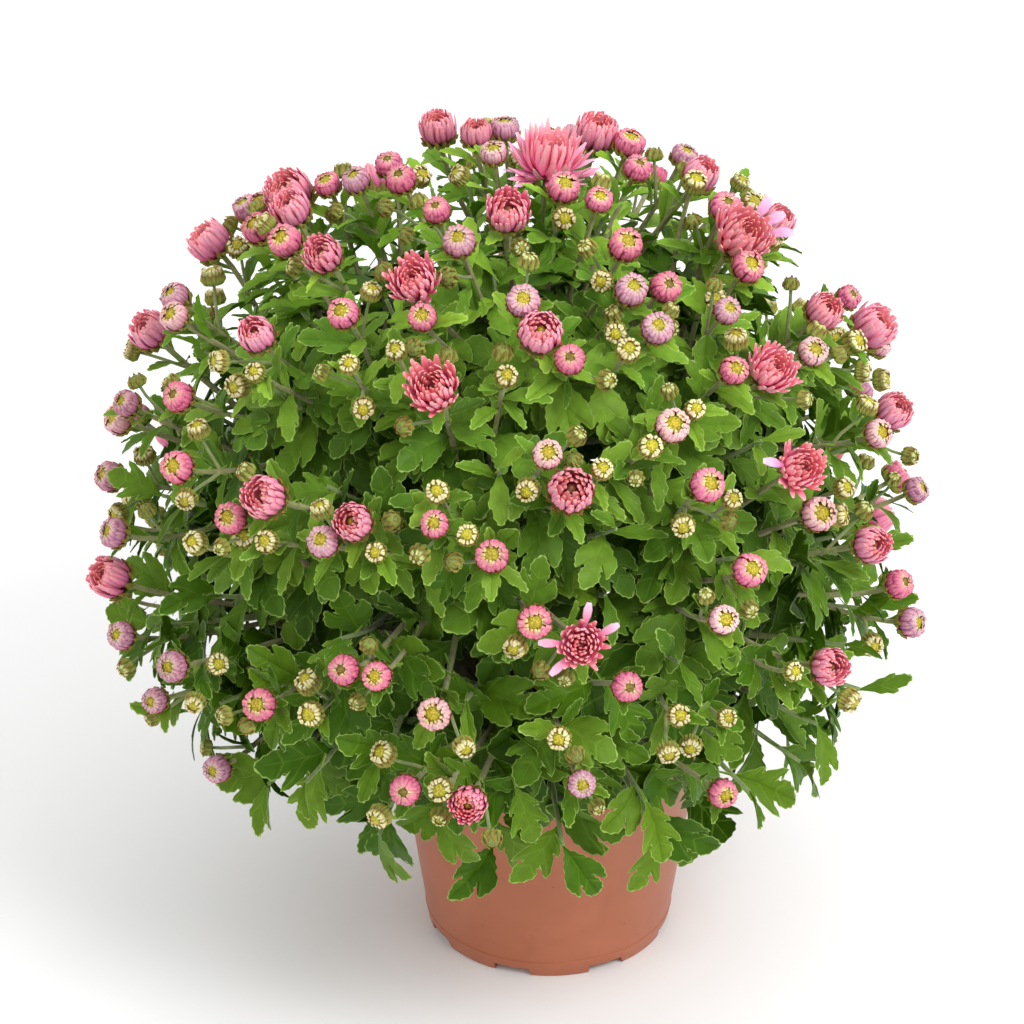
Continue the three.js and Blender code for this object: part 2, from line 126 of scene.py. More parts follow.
for k in range(NOTCHES):
    turn = math.radians(FIRST_NOTCH + k * 360 / NOTCHES)
    outward = Vector((math.sin(turn), -math.cos(turn), 0))
    bpy.ops.mesh.primitive_cube_add(
        size=1, location=outward * FOOT_RADIUS * MM, rotation=(0, 0, turn),
        scale=(NOTCH_WIDTH * MM, (2 * FOOT_RING + 4) * MM, 2 * NOTCH_HEIGHT * MM))
    cutter = bpy.context.object
    for corner in cutter.data.vertices:  # its right end slopes
        if corner.co.x > 0 and corner.co.z > 0:
            corner.co.x -= 0.2 * NOTCH_WIDTH * MM
    cut = pot.modifiers.new("drainage notch", "BOOLEAN")
    cut.object = cutter
    cut.solver = "EXACT"
    bpy.context.view_layer.objects.active = pot
    bpy.ops.object.modifier_apply(modifier=cut.name)
    bpy.data.objects.remove(cutter)
smoothed(pot, 40)


def linear(hex_colour):
    """An sRGB hex colour as the linear one that the shaders take."""
    channels = [int(hex_colour[k:k + 2], 16) / 255 for k in (1, 3, 5)]
    return [c / 12.92 if c <= 0.04045 else ((c + 0.055) / 1.055) ** 2.4 for c in channels] + [1]


def new_material(name):
    """An empty material, its node tree and its shader."""
    material = bpy.data.materials.new(name)
    material.use_nodes = True
    return material, material.node_tree, material.node_tree.nodes["Principled BSDF"]


def feed(tree, made, links):
    """Links a node's inputs to sockets, or sets them to values. _2 is the input numbered 2."""
    for name, value in links.items():
        spot = made.inputs[int(name[1:]) if name[1:].isdigit() else name.replace("_", " ")]
        if isinstance(value, bpy.types.NodeSocket):
            tree.links.new(value, spot)
        else:
            spot.default_value = value


def node(tree, kind, settings=None, give=0, **links):
    """Adds a node with its settings and links, and returns one of its outputs."""
    made = tree.nodes.new("ShaderNode" + kind)
    for setting, value in (settings or {}).items():
        setattr(made, setting, value)
    feed(tree, made, links)
    return made.outputs[give]


# Moulded polypropylene: satin, opaque and even, with faint streaks of colourant and a few
# specks of unmixed pigment.
pot_plastic, tree, shader = new_material("satin moulded polypropylene")
place = node(tree, "TexCoord", give="Object")
swirl = node(tree, "TexNoise", Vector=place, Scale=1000 / MOULD_SWIRL, Detail=4, Distortion=0.8)
streaks = node(tree, "Mix", {"data_type": "RGBA"}, 2, _0=swirl, _6=linear("#9F5738"), _7=linear("#B46C4D"))
specks = node(tree, "TexVoronoi", Vector=place, Scale=1000 / SPECK_SPACING)
speck = node(tree, "Math", {"operation": "LESS_THAN"}, _0=specks, _1=SPECK_SHARE)
colour = node(tree, "Mix", {"data_type": "RGBA"}, 2, _0=speck, _6=streaks, _7=linear("#5A2018"))
grain = node(tree, "TexNoise", Vector=place, Scale=1000 / MOULD_GRAIN, Detail=2)
bump = node(tree, "Bump", Strength=0.06, Distance=0.0002, Height=grain)
feed(tree, shader, {"Base Color": colour, "Normal": bump, "Roughness": 0.42, "IOR": 1.49})
pot.data.materials.append(pot_plastic)
placed(pot, "pot_plastic", "pot")

# Soil.
# The root ball: moist black peat with crumbs and bits of bark. It was filled in round the
# young plant and watered down to a finger's breadth below the rim.

SOIL_TOP = 127
SOIL_GAP = 0.8  # between the root ball and the pot's wall
CRUMB = 3.2
soil_rings = [(pot_wall(POT_FLOOR) - POT_WALL - SOIL_GAP, POT_FLOOR + 0.3),
              (pot_wall(SOIL_TOP - 3) - POT_WALL - SOIL_GAP, SOIL_TOP - 3)]
soil_rings += [(radius, SOIL_TOP) for radius in range(80, 1, -3)]
soil = turned("peat", soil_rings, 96)
lumps = bpy.data.textures.new("peat lumps", "CLOUDS")
lumps.noise_scale = 2.5 * CRUMB * MM
heave = soil.modifiers.new("crumbs", "DISPLACE")
heave.texture = lumps
heave.strength = 1.6 * CRUMB * MM
heave.direction = "Z"
top_ring = soil.vertex_groups.new(name="surface")
top_ring.add([v.index for v in soil.data.vertices
              if v.co.z > (SOIL_TOP - 1) * MM and v.co.xy.length < 79 * MM], 1, "REPLACE")
heave.vertex_group = top_ring.name
bpy.context.view_layer.objects.active = soil
bpy.ops.object.modifier_apply(modifier=heave.name)
smoothed(soil, 60)

# Peat: nearly black when moist, with brown fibres, and dull.
peat, tree, shader = new_material("moist peat")
place = node(tree, "TexCoord", give="Object")
crumbs = node(tree, "TexVoronoi", Vector=place, Scale=1000 / CRUMB)
browns = node(tree, "Mix", {"data_type": "RGBA"}, 2, _0=crumbs.node.outputs["Color"],
              _6=linear("#1C130C"), _7=linear("#4A3524"))
bump = node(tree, "Bump", Strength=0.8, Distance=0.002, Height=crumbs)
feed(tree, shader, {"Base Color": browns, "Normal": bump, "Roughness": 0.9})
soil.data.materials.append(peat)
placed(soil, "soil", "soil")

# Stems and shoots.
# Eighteen stems rise from the peat and lean out to their parts of a globe, and branch there
# into shoots that each end in a flower head. They are ribbed, grey-green, and woody low down.

LEAN = -22  # the middle of the globe stands this far along X from the pot's axis
CENTRE_HEIGHT = 240
SPREAD = 232  # how far the globe reaches to its sides, then up and down
CROWN = 246
SKIRT = 135
SHOULDER = 0.05  # how much fuller the globe is half-way up
STEMS = 18
STEM_FEET = (12, 58)  # how far out the most upright stem rises from the soil, and a low one
STEM_RISE = 75
STEM_REACH = 0.6  # where stems end, as a share of the globe, and then where shoots start
STEM_HOLE_DEPTH = 8
SHOOT_REACH = 0.63
GOLDEN_TURN = 137.508
BACK_SITES = 118
PINK_RADIUS = 8.4
CREAM_RADIUS = 6.4
CALYX_DEPTH = 0.6  # the shoot meets its head this far below the head's middle, in radii
STEM_RADIUS = (3.4, 2.2)
BRANCH_RADIUS = (1.8, 1.7)
SHOOT_RADIUS = (1.75, 1.55)
STOUT_HEAD = 9.5  # a head smaller than this has a thinner shoot
STALK_RADIUS = (1.0, 0.85)
STEM_SPOT = 3.846  # the mottling of a stem's skin, millimetres across
HEAD_TURN = 24  # how far heads turn off their bearings, from one side to the other
HEAD_TILT = (24, 0.62, 16, 80)  # up from level: low down, per degree of height, at random, at most
TO_LIGHT = 0.45  # how far the heads in front lean to the light
SIDE_BUDS = (0.85, 0.45)  # the share of heads with a first and with a second side bud
GREEN_RADIUS = 5.4  # a side bud smaller than this is still green

# Open and half-open blooms by bearing, height and radius, then closed pink heads and cream
# buds by bearing and height. Heights are angles above the level of the globe's centre.
OPEN = [
    (-26, 61, 13.5), (-14, 47, 14.3), (9, 17, 12.2), (47, 31, 13.1),
    (50, 43, 13.6), (77, 57, 16.7), (124, 84, 21.8)]
HALF_OPEN = [
    (-162, 76, 8.4), (-152, 68, 9.6), (-107, 43, 11.3), (-99, 59, 12.1), (-98, 31, 10.7),
    (-87, 60, 9.8), (-75, 5, 11.1), (-56, 60, 9), (-54, 47, 9.5), (-38, 30, 10.9),
    (-23, 30, 9.7), (-6, -8, 9), (-2, 76, 10.6), (6, 55, 11.3), (9, 36, 11.7),
    (47, 5, 9.6), (59, 17, 9.7), (74, 44, 9.7), (79, 27, 9.9), (96, 53, 9),
    (97, 32, 11.3), (106, 63, 9.9), (143, 70, 11.2)]
PINK = [
    (-174, 75), (-147, 86), (-113, 48), (-103, 54), (-102, 73), (-95, 65), (-91, 69),
    (-90, 21), (-90, 40), (-87, 14), (-87, 55), (-84, 26), (-82, 40), (-80, 75), (-74, 12),
    (-72, 58), (-69, -1), (-64, 35), (-59, -10), (-57, 28), (-52, 3), (-51, -26), (-43, 26),
    (-38, 54), (-38, 74), (-35, 4), (-27, 27), (-22, 12), (-20, 56), (-19, 69), (-18, 12),
    (-14, -6), (-11, 32), (-10, 8), (-3, 28), (3, 20), (3, 59), (6, 39), (9, -3), (11, 51),
    (15, 11), (27, 41), (29, 17), (30, -15), (30, 33), (30, 59), (31, 53), (34, 22),
    (38, 66), (39, 58), (42, 45), (43, 80), (48, 25), (49, 52), (50, 75), (62, 42),
    (65, 55), (67, 8), (69, 28), (77, -5), (86, 61), (87, 12), (90, 40), (97, 73),
    (102, 27), (124, 61), (131, 69)]
CREAM = [
    (-49, 21), (-49, 43), (-36, 25), (-31, 48), (-27, 5), (-23, 51), (-19, 27), (-11, 34),
    (-9, -5), (-6, 30), (-1, 49), (6, 5), (13, 37), (22, 6), (22, 39), (23, 51), (29, 4),
    (31, 42), (33, 31), (40, 7), (55, 26), (77, 38), (81, 55), (97, 65), (98, 56), (120, 52)]
globe_centre = Vector((LEAN, 0, CENTRE_HEIGHT))


def draw(i, j):
    """A fixed number between 0 and 1 for each pair of whole numbers."""
    x = math.sin(i * 12.9898 + j * 78.233 + 4.1) * 43758.5453
    return x - math.floor(x)


def direction(bearing, height):
    b, h = math.radians(bearing), math.radians(height)
    return Vector((math.cos(h) * math.sin(b), -math.cos(h) * math.cos(b), math.sin(h)))


def on_globe(aim, reach):
    """A point of the globe, where reach 1 is the surface of the flower heads."""
    shoulder = SHOULDER * math.sin(2 * math.asin(max(-1, min(1, aim.z)))) ** 2
    full = reach * (1 + shoulder) if aim.z > 0 else reach
    size = Vector((SPREAD, SPREAD, CROWN if aim.z > 0 else SKIRT))
    return globe_centre + Vector([share * radius * full for share, radius in zip(aim, size)])


def sites(count, top, bottom, first_bearing):
    """Evenly spread bearings and heights on the globe, top first."""
    for k in range(count):
        level = top - (top - bottom) * (k + 0.5) / count
        yield (first_bearing + k * GOLDEN_TURN) % 360, math.degrees(math.asin(level))


def make_head(bearing, height, kind, radius, key):
    level, more, spread, most = HEAD_TILT
    turn = bearing + HEAD_TURN * (draw(key, 1) - 0.5)
    tilt = min(most, level + more * height + spread * (draw(key, 2) - 0.5))
    aim = direction(bearing, height)
    to_light = Vector() if behind(bearing, height) else TO_LIGHT * direction(0, 20)
    return {"kind": kind, "radius": radius, "key": key, "aim": aim, "at": on_globe(aim, 1),
            "axis": (direction(turn, tilt) + to_light).normalized()}


def behind(bearing, height):
    h = math.radians(height)
    return math.cos(h) * math.cos(math.radians(bearing)) + 0.55 * math.sin(h) < -0.1


def all_heads():
    plan = [(*head[:2], "open", head[2]) for head in OPEN]
    plan += [(*head[:2], "half", head[2]) for head in HALF_OPEN]
    plan += [(*head, "pink", PINK_RADIUS) for head in PINK]
    plan += [(*head, "cream", CREAM_RADIUS) for head in CREAM]
    for k, (bearing, height) in enumerate(sites(BACK_SITES, 0.95, -0.3, 40)):
        if not behind(bearing, height):
            continue
        if k % 5 == 0:
            plan.append((bearing, height, "half", 9 + 2.5 * draw(k, 3)))
        elif k % 4 == 1:
            plan.append((bearing, height, "cream", CREAM_RADIUS))
        else:
            plan.append((bearing, height, "pink", PINK_RADIUS))
    return [make_head(*head, key) for key, head in enumerate(plan)]


def spread_apart(heads):
    """Heads that would touch are pushed apart, a little at a time."""
    for _ in range(12):
        for i, head in enumerate(heads):
            for other in heads[i + 1:]:
                apart = other["at"] - head["at"]
                wanted = 0.95 * (head["radius"] + other["radius"]) + 2.5
                distance = apart.length
                if distance < wanted:
                    apart *= 0.5 * (wanted - distance) / distance
                    head["at"] = head["at"] - apart
                    other["at"] = other["at"] + apart


def bezier(points, t):
    """Points along a curve of three or four handles, and its direction there."""
    points = np.array([tuple(p) for p in points], float)
    t = np.atleast_1d(t)[:, None]
    layers = [np.broadcast_to(p, (len(t), 3)) for p in points]
    while len(layers) > 2:
        layers = [a + (b - a) * t for a, b in zip(layers, layers[1:])]
    along = layers[1] - layers[0]
    along = along / np.linalg.norm(along, axis=1)[:, None]
    return layers[0] + (layers[1] - layers[0]) * t, along


def make_stem(bearing, height):
    aim = direction(bearing, height)
    tip = on_globe(aim, STEM_REACH)
    out = (tip - globe_centre).normalized()
    away = STEM_FEET[0] + (STEM_FEET[1] - STEM_FEET[0]) * (90 - height) / 120
    foot = direction(bearing, 0) * away
    foot.z = SOIL_TOP - STEM_HOLE_DEPTH
    path = [foot, foot + Vector((0, 0, STEM_RISE)), tip - 45 * out, tip]
    return {"aim": aim, "out": out, "path": path}


def owner_of(point):
    """The stem whose part of the globe holds a point."""
    reach = point - globe_centre
    return max(range(STEMS), key=lambda k: reach.dot(stems[k]["out"]))


def shoot_to(head):
    """A shoot leaves its stem's end and arrives at its head along the head's axis."""
    stem = stems[head["stem"]]
    end = head["at"] - head["axis"] * CALYX_DEPTH * head["radius"]
    start = on_globe(head["aim"].lerp(stem["aim"], 0.45).normalized(), SHOOT_REACH)
    bend = end - head["axis"] * 0.4 * (start - end).length
    return [start, bend, end]


heads = all_heads()
spread_apart(heads)
for head in heads:
    if head["kind"] in ("pink", "cream"):
        head["radius"] *= 0.8 + 0.24 * draw(head["key"], 12)
stems = [make_stem(*site) for site in sites(STEMS, 1, -0.62, 20)]
for head in heads:
    head["stem"] = owner_of(head["at"])
    head["path"] = shoot_to(head)

# Side stalks branch off below a head and carry a smaller bud beside and below it.
side_buds = []
for head in heads:
    for side in range(2):
        key = 1000 + 3 * head["key"] + side
        if draw(key, 4) > SIDE_BUDS[side]:
            continue
        across = head["axis"].cross(direction(360 * draw(key, 5), 90 * draw(key, 6) - 45)).normalized()
        radius = 4.2 + 2.4 * draw(key, 7)
        beside = head["radius"] + radius + 2 + 9 * draw(key, 8)
        at = head["at"] + across * beside - head["axis"] * (2 + 14 * draw(key, 9))
        room = min((at - other["at"]).length - other["radius"] for other in heads + side_buds)
        low = at.z < POT_HEIGHT + 12 and at.xy.length < RIM_RADIUS + 12
        if room < radius + 1 or low:
            continue
        roots, _ = bezier(head["path"], 0.62)
        root = Vector(roots[0])
        axis = (head["axis"] * 1.2 + across).normalized()
        end = at - axis * CALYX_DEPTH * radius
        kind = "green" if radius < GREEN_RADIUS else "cream"
        path = [root, root + head["axis"] * 12 + across * 8, end - axis * 12, end]
        side_buds.append({"kind": kind, "radius": radius, "key": key, "aim": head["aim"], "at": at,
                          "axis": axis, "stem": head["stem"], "path": path})


def column(items, name, width, kind):
    """One value of every item of a mesh, such as a corner's place."""
    values = np.empty(width * len(items), kind)
    items.foreach_get(name, values)
    return values


def pattern_of(piece):
    """A finished pattern piece as arrays, from which its copies are set out."""
    mesh = piece.data
    points = column(mesh.vertices, "co", 3, float).reshape(-1, 3)
    pattern = {"points": points, "chart": points[:, :2].copy(),
               "corners": column(mesh.loops, "vertex_index", 1, np.int32),
               "sizes": column(mesh.polygons, "loop_total", 1, np.int32),
               "slots": column(mesh.polygons, "material_index", 1, np.int32)}
    bpy.data.objects.remove(piece)
    return pattern


def set_out(name, batches, materials, angle=50):
    """One mesh of its own out of copies: each batch is a pattern, its copies' points in
    millimetres, and a colour for each copy or for each of its points."""
    first, rows = 0, []
    for pattern, places, tints in batches:
        count, size = places.shape[:2]
        shifts = first + size * np.arange(count)[:, None]
        tints = tints[:, None] if tints.ndim == 2 else tints
        rows.append((
            places.reshape(-1, 3), (pattern["corners"] + shifts).ravel(), np.tile(pattern["sizes"], count),
            np.tile(pattern["slots"] + pattern.get("first_slot", 0), count),
            np.tile(pattern["chart"], (count, 1)), np.broadcast_to(tints, (count, size, 3)).reshape(-1, 3)))
        first += count * size
    points, corners, sizes, slots, charts, colours = (np.concatenate(parts) for parts in zip(*rows))
    starts = np.cumsum(sizes) - sizes
    rgba = np.concatenate([colours, np.ones((len(points), 1))], axis=1)
    mesh = bpy.data.meshes.new(name)
    mesh.vertices.add(len(points))
    mesh.loops.add(len(corners))
    mesh.polygons.add(len(sizes))
    mesh.vertices.foreach_set("co", (points * MM).astype(np.float32).ravel())
    mesh.loops.foreach_set("vertex_index", corners.astype(np.int32))
    mesh.polygons.foreach_set("loop_start", starts.astype(np.int32))
    mesh.polygons.foreach_set("material_index", slots.astype(np.int32))
    mesh.update(calc_edges=True)
    chart = mesh.uv_layers.new(name="along and across")
    chart.data.foreach_set("uv", charts[corners].astype(np.float32).ravel())
    tint = mesh.color_attributes.new("tint", "FLOAT_COLOR", "POINT")
    tint.data.foreach_set("color", rgba.astype(np.float32).ravel())
    for material in materials:
        mesh.materials.append(material)
    piece = bpy.data.objects.new(name, mesh)
    bpy.context.collection.objects.link(piece)
    smoothed(piece, angle)
    return piece


def tube_pattern(sides, steps):
    """A ribbed rod, one long and one in radius, with its length as its chart's first axis."""
    tube = turned("rod", [(1000, 1000 * k / steps) for k in range(steps + 1)], sides)
    pattern = pattern_of(tube)
    x, y, z = pattern["points"].T
    angle = np.arctan2(y, x)
    rib = np.where(np.round(angle / (2 * np.pi) * sides) % 2 == 0, 1.06, 0.94)
    pattern["points"] = np.stack([x * rib, y * rib, z], axis=1)
    pattern["chart"] = np.stack([z, angle / (2 * np.pi)], axis=1)
    return pattern


def drawn_along(pattern, path, radii):
    """A rod's points when it is drawn along a path and tapers between two radii."""
    x, y, z = pattern["points"].T
    centre, along = bezier(path, z)
    start, end = np.array(path[0]), np.array(path[-1])
    normal = np.cross(end - start, np.array(path[1]) - start)
    if np.linalg.norm(normal) < 1e-3 * np.linalg.norm(end - start) ** 2:
        normal = np.cross(end - start, [0.3, 0.5, 0.8])
    across = np.cross(along, normal)
    across /= np.linalg.norm(across, axis=1)[:, None]
    third = np.cross(along, across)
    radius = (radii[0] + (radii[1] - radii[0]) * z)[:, None]
    return centre + radius * (x[:, None] * across + y[:, None] * third)


def rgb(hex_colour):
    """The same colour without its alpha, to reckon with."""
    return np.array(linear(hex_colour)[:3])


stem_rod = tube_pattern(8, 12)
shoot_rod = tube_pattern(8, 6)
stalk_rod = tube_pattern(6, 4)
WOODY, GREY_GREEN, YOUNG, RUSSET = (rgb(c) for c in ("#6C5E46", "#949660", "#82985A", "#84725A"))
stem_batches = [[] for _ in stems]


def add_rod(stem, rod, path, radii, first, last):
    """A rod on a stem's part of the plant, which tapers and turns from one colour to another."""
    shades = first + (last - first) * rod["points"][:, 2:3]
    stem_batches[stem].append((rod, drawn_along(rod, path, radii)[None], shades[None]))


for k, stem in enumerate(stems):
    add_rod(k, stem_rod, stem["path"], STEM_RADIUS, WOODY, GREY_GREEN)
for head in heads:
    k = head["stem"]
    fork = Vector(bezier(stems[k]["path"], 0.8 + 0.19 * draw(head["key"], 10))[0][0])
    start = head["path"][0]
    branch = [fork, fork + stems[k]["out"] * 0.4 * (start - fork).length, start]
    add_rod(k, stalk_rod, branch, BRANCH_RADIUS, GREY_GREEN, GREY_GREEN)
    thick = min(1, head["radius"] / STOUT_HEAD) ** 0.5
    mix = draw(head["key"], 11)
    hue = GREY_GREEN * (1 - mix) + RUSSET * mix
    add_rod(k, shoot_rod, head["path"], [thick * radius for radius in SHOOT_RADIUS], hue, GREY_GREEN)
for bud in side_buds:
    add_rod(bud["stem"], stalk_rod, bud["path"], STALK_RADIUS, GREY_GREEN, YOUNG)


def mottled(tree, spot, detail, dark, light):
    """Soft spots of this size all over a piece, and how dark or light each spot makes it."""
    place = node(tree, "TexCoord", give="Object")
    spots = node(tree, "TexNoise", Vector=place, Scale=1000 / spot, Detail=detail)
    shade = node(tree, "MapRange", Value=spots, From_Min=0.3, From_Max=0.7, To_Min=dark, To_Max=light)
    return spots, shade


def tinted(tree, shade):
    """The colours that a piece was set out in, each times its shade."""
    tint = node(tree, "Attribute", {"attribute_name": "tint"})
    return node(tree, "VectorMath", {"operation": "SCALE"}, _0=tint, Scale=shade)


# Living stem: dull, unevenly grey-green, with the soft sheen of a fine down.
stem_skin, tree, shader = new_material("downy ribbed stem")
_, shade = mottled(tree, STEM_SPOT, 3, 0.75, 1.15)
feed(tree, shader, {"Base Color": tinted(tree, shade), "Roughness": 0.62, "Sheen Weight": 0.25})

# Leaves.
# Soft lobed leaves, alternate up every shoot, largest low down where they hang over the pot's rim.
# Each blade is one thin sheet on a short stalk, with sunken veins and a pale edge of painted rim light.

# Half of a leaf's outline, in blade lengths: where each rib leaves the midrib, and its end.
# Every fourth rib is a side vein, which runs out to the point of a lobe.
THREE_LOBED = [
    (-0.22, -0.220, 0.014), (-0.02, 0.000, 0.020), (0.06, 0.120, 0.070), (0.12, 0.230, 0.165),
    (0.18, 0.340, 0.250), (0.24, 0.450, 0.300), (0.30, 0.560, 0.322), (0.36, 0.660, 0.330),
    (0.40, 0.750, 0.290), (0.44, 0.665, 0.200), (0.49, 0.595, 0.110), (0.56, 0.680, 0.145),
    (0.65, 0.765, 0.180), (0.76, 0.855, 0.158), (0.88, 0.935, 0.092), (1.00, 1.000, 0.004)]
FIVE_LOBED = [
    (-0.22, -0.220, 0.014), (-0.02, 0.000, 0.020), (0.05, 0.110, 0.060), (0.10, 0.240, 0.170),
    (0.16, 0.385, 0.255), (0.20, 0.365, 0.195), (0.24, 0.350, 0.135), (0.32, 0.530, 0.265),
    (0.38, 0.715, 0.325), (0.43, 0.645, 0.210), (0.49, 0.590, 0.115), (0.56, 0.670, 0.140),
    (0.65, 0.760, 0.180), (0.76, 0.850, 0.155), (0.88, 0.935, 0.090), (1.00, 1.000, 0.004)]
YOUNG_LOBED = [
    (-0.20, -0.20, 0.020), (0.00, 0.02, 0.030), (0.14, 0.25, 0.100), (0.28, 0.48, 0.165),
    (0.40, 0.70, 0.190), (0.49, 0.62, 0.100), (0.64, 0.78, 0.125), (0.82, 0.92, 0.078),
    (1.00, 1.00, 0.006)]
RIB_SCALE = 16  # ribs to one unit of the leaf's chart
BLADE = 0.013  # thickness, in blade lengths
SINUSES = (5, 6, 9, 10)  # the ribs that end between two lobes
INNER = 0.52  # a second line of corners down each half of the upper face
EDGE_SCALE = 4  # the chart counts off the distance from the edge, in quarter blade lengths


def leaf_pattern(ribs, narrow=1, deep=1, teeth=0.022):
    """A leaf one long, along +X and facing +Z, whose two faces meet in a thin edge. Between
    two ribs the edge swells into a tooth."""
    points, chart, loops, slots = [], [], [], []

    def corner(x, y, z, u, v):
        points.append((x, y, z))
        chart.append((u / RIB_SCALE, v))
        return len(points) - 1

    rows, ends = [], []
    for row, (mid, edge_x, width) in enumerate(ribs):
        width *= narrow * (deep if row in SINUSES else 1)
        ends.append((edge_x, width))
        line = {}
        for side in (-1, 0, 1):
            x, y = mid + (edge_x - mid) * INNER * abs(side), side * width * INNER
            v = (1 - EDGE_SCALE * width * (1 - INNER)) * abs(side)
            arch = 0.09 * width * abs(side)
            line[side] = corner(x, y, arch + BLADE / 2, row, v)
            if side:
                wave = 0.016 * math.sin(2.6 * row + side) if width > 0.1 else 0
                line[2 * side] = corner(edge_x, side * width, wave, row, 1)
        line["under"] = corner(mid, 0, -BLADE / 2, row, 0)
        rows.append(line)
    for row in range(1, len(ribs)):
        (last_x, last_y), (edge_x, edge_y) = ends[row - 1:row + 1]
        span = math.hypot(edge_x - last_x, edge_y - last_y)
        swell = teeth / span if row > 2 else 0
        x = (last_x + edge_x) / 2 - swell * (edge_y - last_y)
        y = (last_y + edge_y) / 2 + swell * (edge_x - last_x)
        last, line = rows[row - 1], rows[row]
        for side in (-1, 1):
            tooth = corner(x, side * y, 0.008 * math.sin(5 * row), row - 0.5, 1)
            ring = [last[0], line[0], line[side], last[side]]
            rim = [last[side], line[side], line[2 * side], tooth, last[2 * side]]
            under = [last["under"], line["under"], line[2 * side], tooth, last[2 * side]]
            loops.extend([ring[::side], rim[::side], under[::-side]])
            slots.extend([0, 0, 1])
    for line, order in ((rows[0], 1), (rows[-1], -1)):
        loops.append([line[key] for key in (-2, -1, 0, 1, 2, "under")][::order])
        slots.append(0)
    return {"points": np.array(points), "chart": np.array(chart), "slots": np.array(slots),
            "sizes": np.array([len(loop) for loop in loops]),
            "corners": np.array([index for loop in loops for index in loop])}


leaf_kinds = [leaf_pattern(THREE_LOBED), leaf_pattern(THREE_LOBED, 0.85, 1.15),
              leaf_pattern(FIVE_LOBED), leaf_pattern(YOUNG_LOBED, 1, 1, 0.032),
              leaf_pattern(YOUNG_LOBED, 0.75, 1.1, 0.032)]


def bent_leaves(pattern, leaves):
    """The points of a batch of leaves, each folded, curled and twisted in its own way."""
    x, y, z = (c[None] for c in pattern["points"].T)
    keys = ("size", "fold", "curl", "twist", "sway")
    size, fold, curl, twist, sway = (np.array([leaf[key] for leaf in leaves])[:, None] for key in keys)
    y = y + 0 * size
    up = z + fold * np.abs(y)
    turn = twist * x
    y, up = y * np.cos(turn) - up * np.sin(turn), y * np.sin(turn) + up * np.cos(turn)
    bend = curl * np.maximum(x, 0)
    start = x - np.maximum(x, 0)
    radius = 1 / curl
    x, up = start + (radius + up) * np.sin(bend), (radius + up) * np.cos(bend) - radius
    y = y + sway * x * x
    along, across, face, root = (np.array([leaf[key] for leaf in leaves], float)[:, None]
                                 for key in ("along", "across", "face", "root"))
    size = size[..., None]
    return root + size * (x[..., None] * along + y[..., None] * across + up[..., None] * face)


LEAF_LENGTH = (52, 20)  # at the foot of a shoot, and just below its head
UPPER_LENGTH = (45, 22)  # the same on the shoots that rise from the crown
LARGE_LEAF = 33  # leaves shorter than this are young ones, with fewer lobes
LEAF_WEIGHT = 0.011  # how far a leaf's own length pulls its tip down
LEAF_SPOT = 5.882  # the mottling of a leaf, millimetres across
YOUNG_LEAF, OLD_LEAF, DARK_LEAF, SHEEN_LEAF = (rgb(c) for c in ("#6E9020", "#456E08", "#2D4E04", "#A2AC7A"))
LEAF_HANG = 45  # how far leaves may hang below the top of the soil
HEAD_ROOM = 2.5  # leaves stay this far from the edge of a head
head_points = np.array([head["at"] for head in heads + side_buds])
head_radii = np.array([head["radius"] for head in heads + side_buds])
head_outs = head_points - np.array(globe_centre)
head_outs /= np.linalg.norm(head_outs, axis=1)[:, None]


def leaf_at(root, tangent, turn, rise, size, key, age):
    """A leaf that grows from a shoot: turned round it, raised along it, hung by its weight."""
    tangent = Vector(tangent).normalized()
    side = tangent.cross(Vector((0.31, 0.17, 0.9))).normalized()
    side.rotate(Matrix.Rotation(turn, 3, tangent))
    along = side * math.cos(rise) + tangent * math.sin(rise)
    along.z -= LEAF_WEIGHT * size * (0.5 + 0.9 * draw(key, 21))
    along.normalize()
    face = tangent + Vector((0, 0, 0.35)) + 0.3 * Vector((draw(key, 22) - 0.5, draw(key, 23) - 0.5, 0))
    face = (face - along * face.dot(along)).normalized()
    level = max(-0.5, (root[2] - globe_centre.z) / CROWN)
    mix = 0.6 * age + 0.9 * (draw(key, 24) - 0.62) + 0.2 * level
    colour = OLD_LEAF + (YOUNG_LEAF - OLD_LEAF) * max(0, mix) + (DARK_LEAF - OLD_LEAF) * max(0, -mix * 1.6)
    # Painted light: each leaf is made darker low down and lighter higher up, most of all near the top.
    colour = colour * (0.82 + 0.25 * level + 1.1 * max(0, level) ** 3)
    colour = colour + (SHEEN_LEAF - colour) * 0.1 * max(0, level)  # painted sheen: paler higher up, where most light falls
    kind = int(3 * draw(key, 29)) if size > LARGE_LEAF else 3 + int(2 * draw(key, 29))
    return {"root": root, "along": along, "across": face.cross(along), "face": face, "size": size,
            "fold": 0.08 + 0.45 * draw(key, 25), "curl": 0.2 + 0.9 * draw(key, 26),
            "twist": 1.0 * (draw(key, 27) - 0.5), "sway": 0.3 * (draw(key, 28) - 0.5),
            "colour": colour, "kind": kind}


def has_room(leaf):
    """True where a leaf stays off the pot and doesn't lie over a flower head."""
    outline = np.array([(0.3, 0), (0.5, 0.3), (0.5, -0.3), (0.7, 0), (0.7, 0.3), (0.7, -0.3), (1, 0)])
    root, along, across, face = (np.array(leaf[key]) for key in ("root", "along", "across", "face"))
    drop = -0.5 * leaf["curl"] * outline[:, :1] ** 2
    points = root + leaf["size"] * (outline[:, :1] * along + outline[:, 1:] * across + drop * face)
    if (points[:, 2] < SOIL_TOP - LEAF_HANG).any():
        return False
    if ((np.hypot(points[:, 0], points[:, 1]) < RIM_RADIUS + 3) & (points[:, 2] < POT_HEIGHT + 2)).any():
        return False
    apart = points[:, None] - head_points[None]
    above = (apart * head_outs[None]).sum(-1)
    aside = np.linalg.norm(apart - above[..., None] * head_outs[None], axis=-1)
    return not ((above > -0.7 * head_radii) & (aside < head_radii + HEAD_ROOM) & (above < 60)).any()


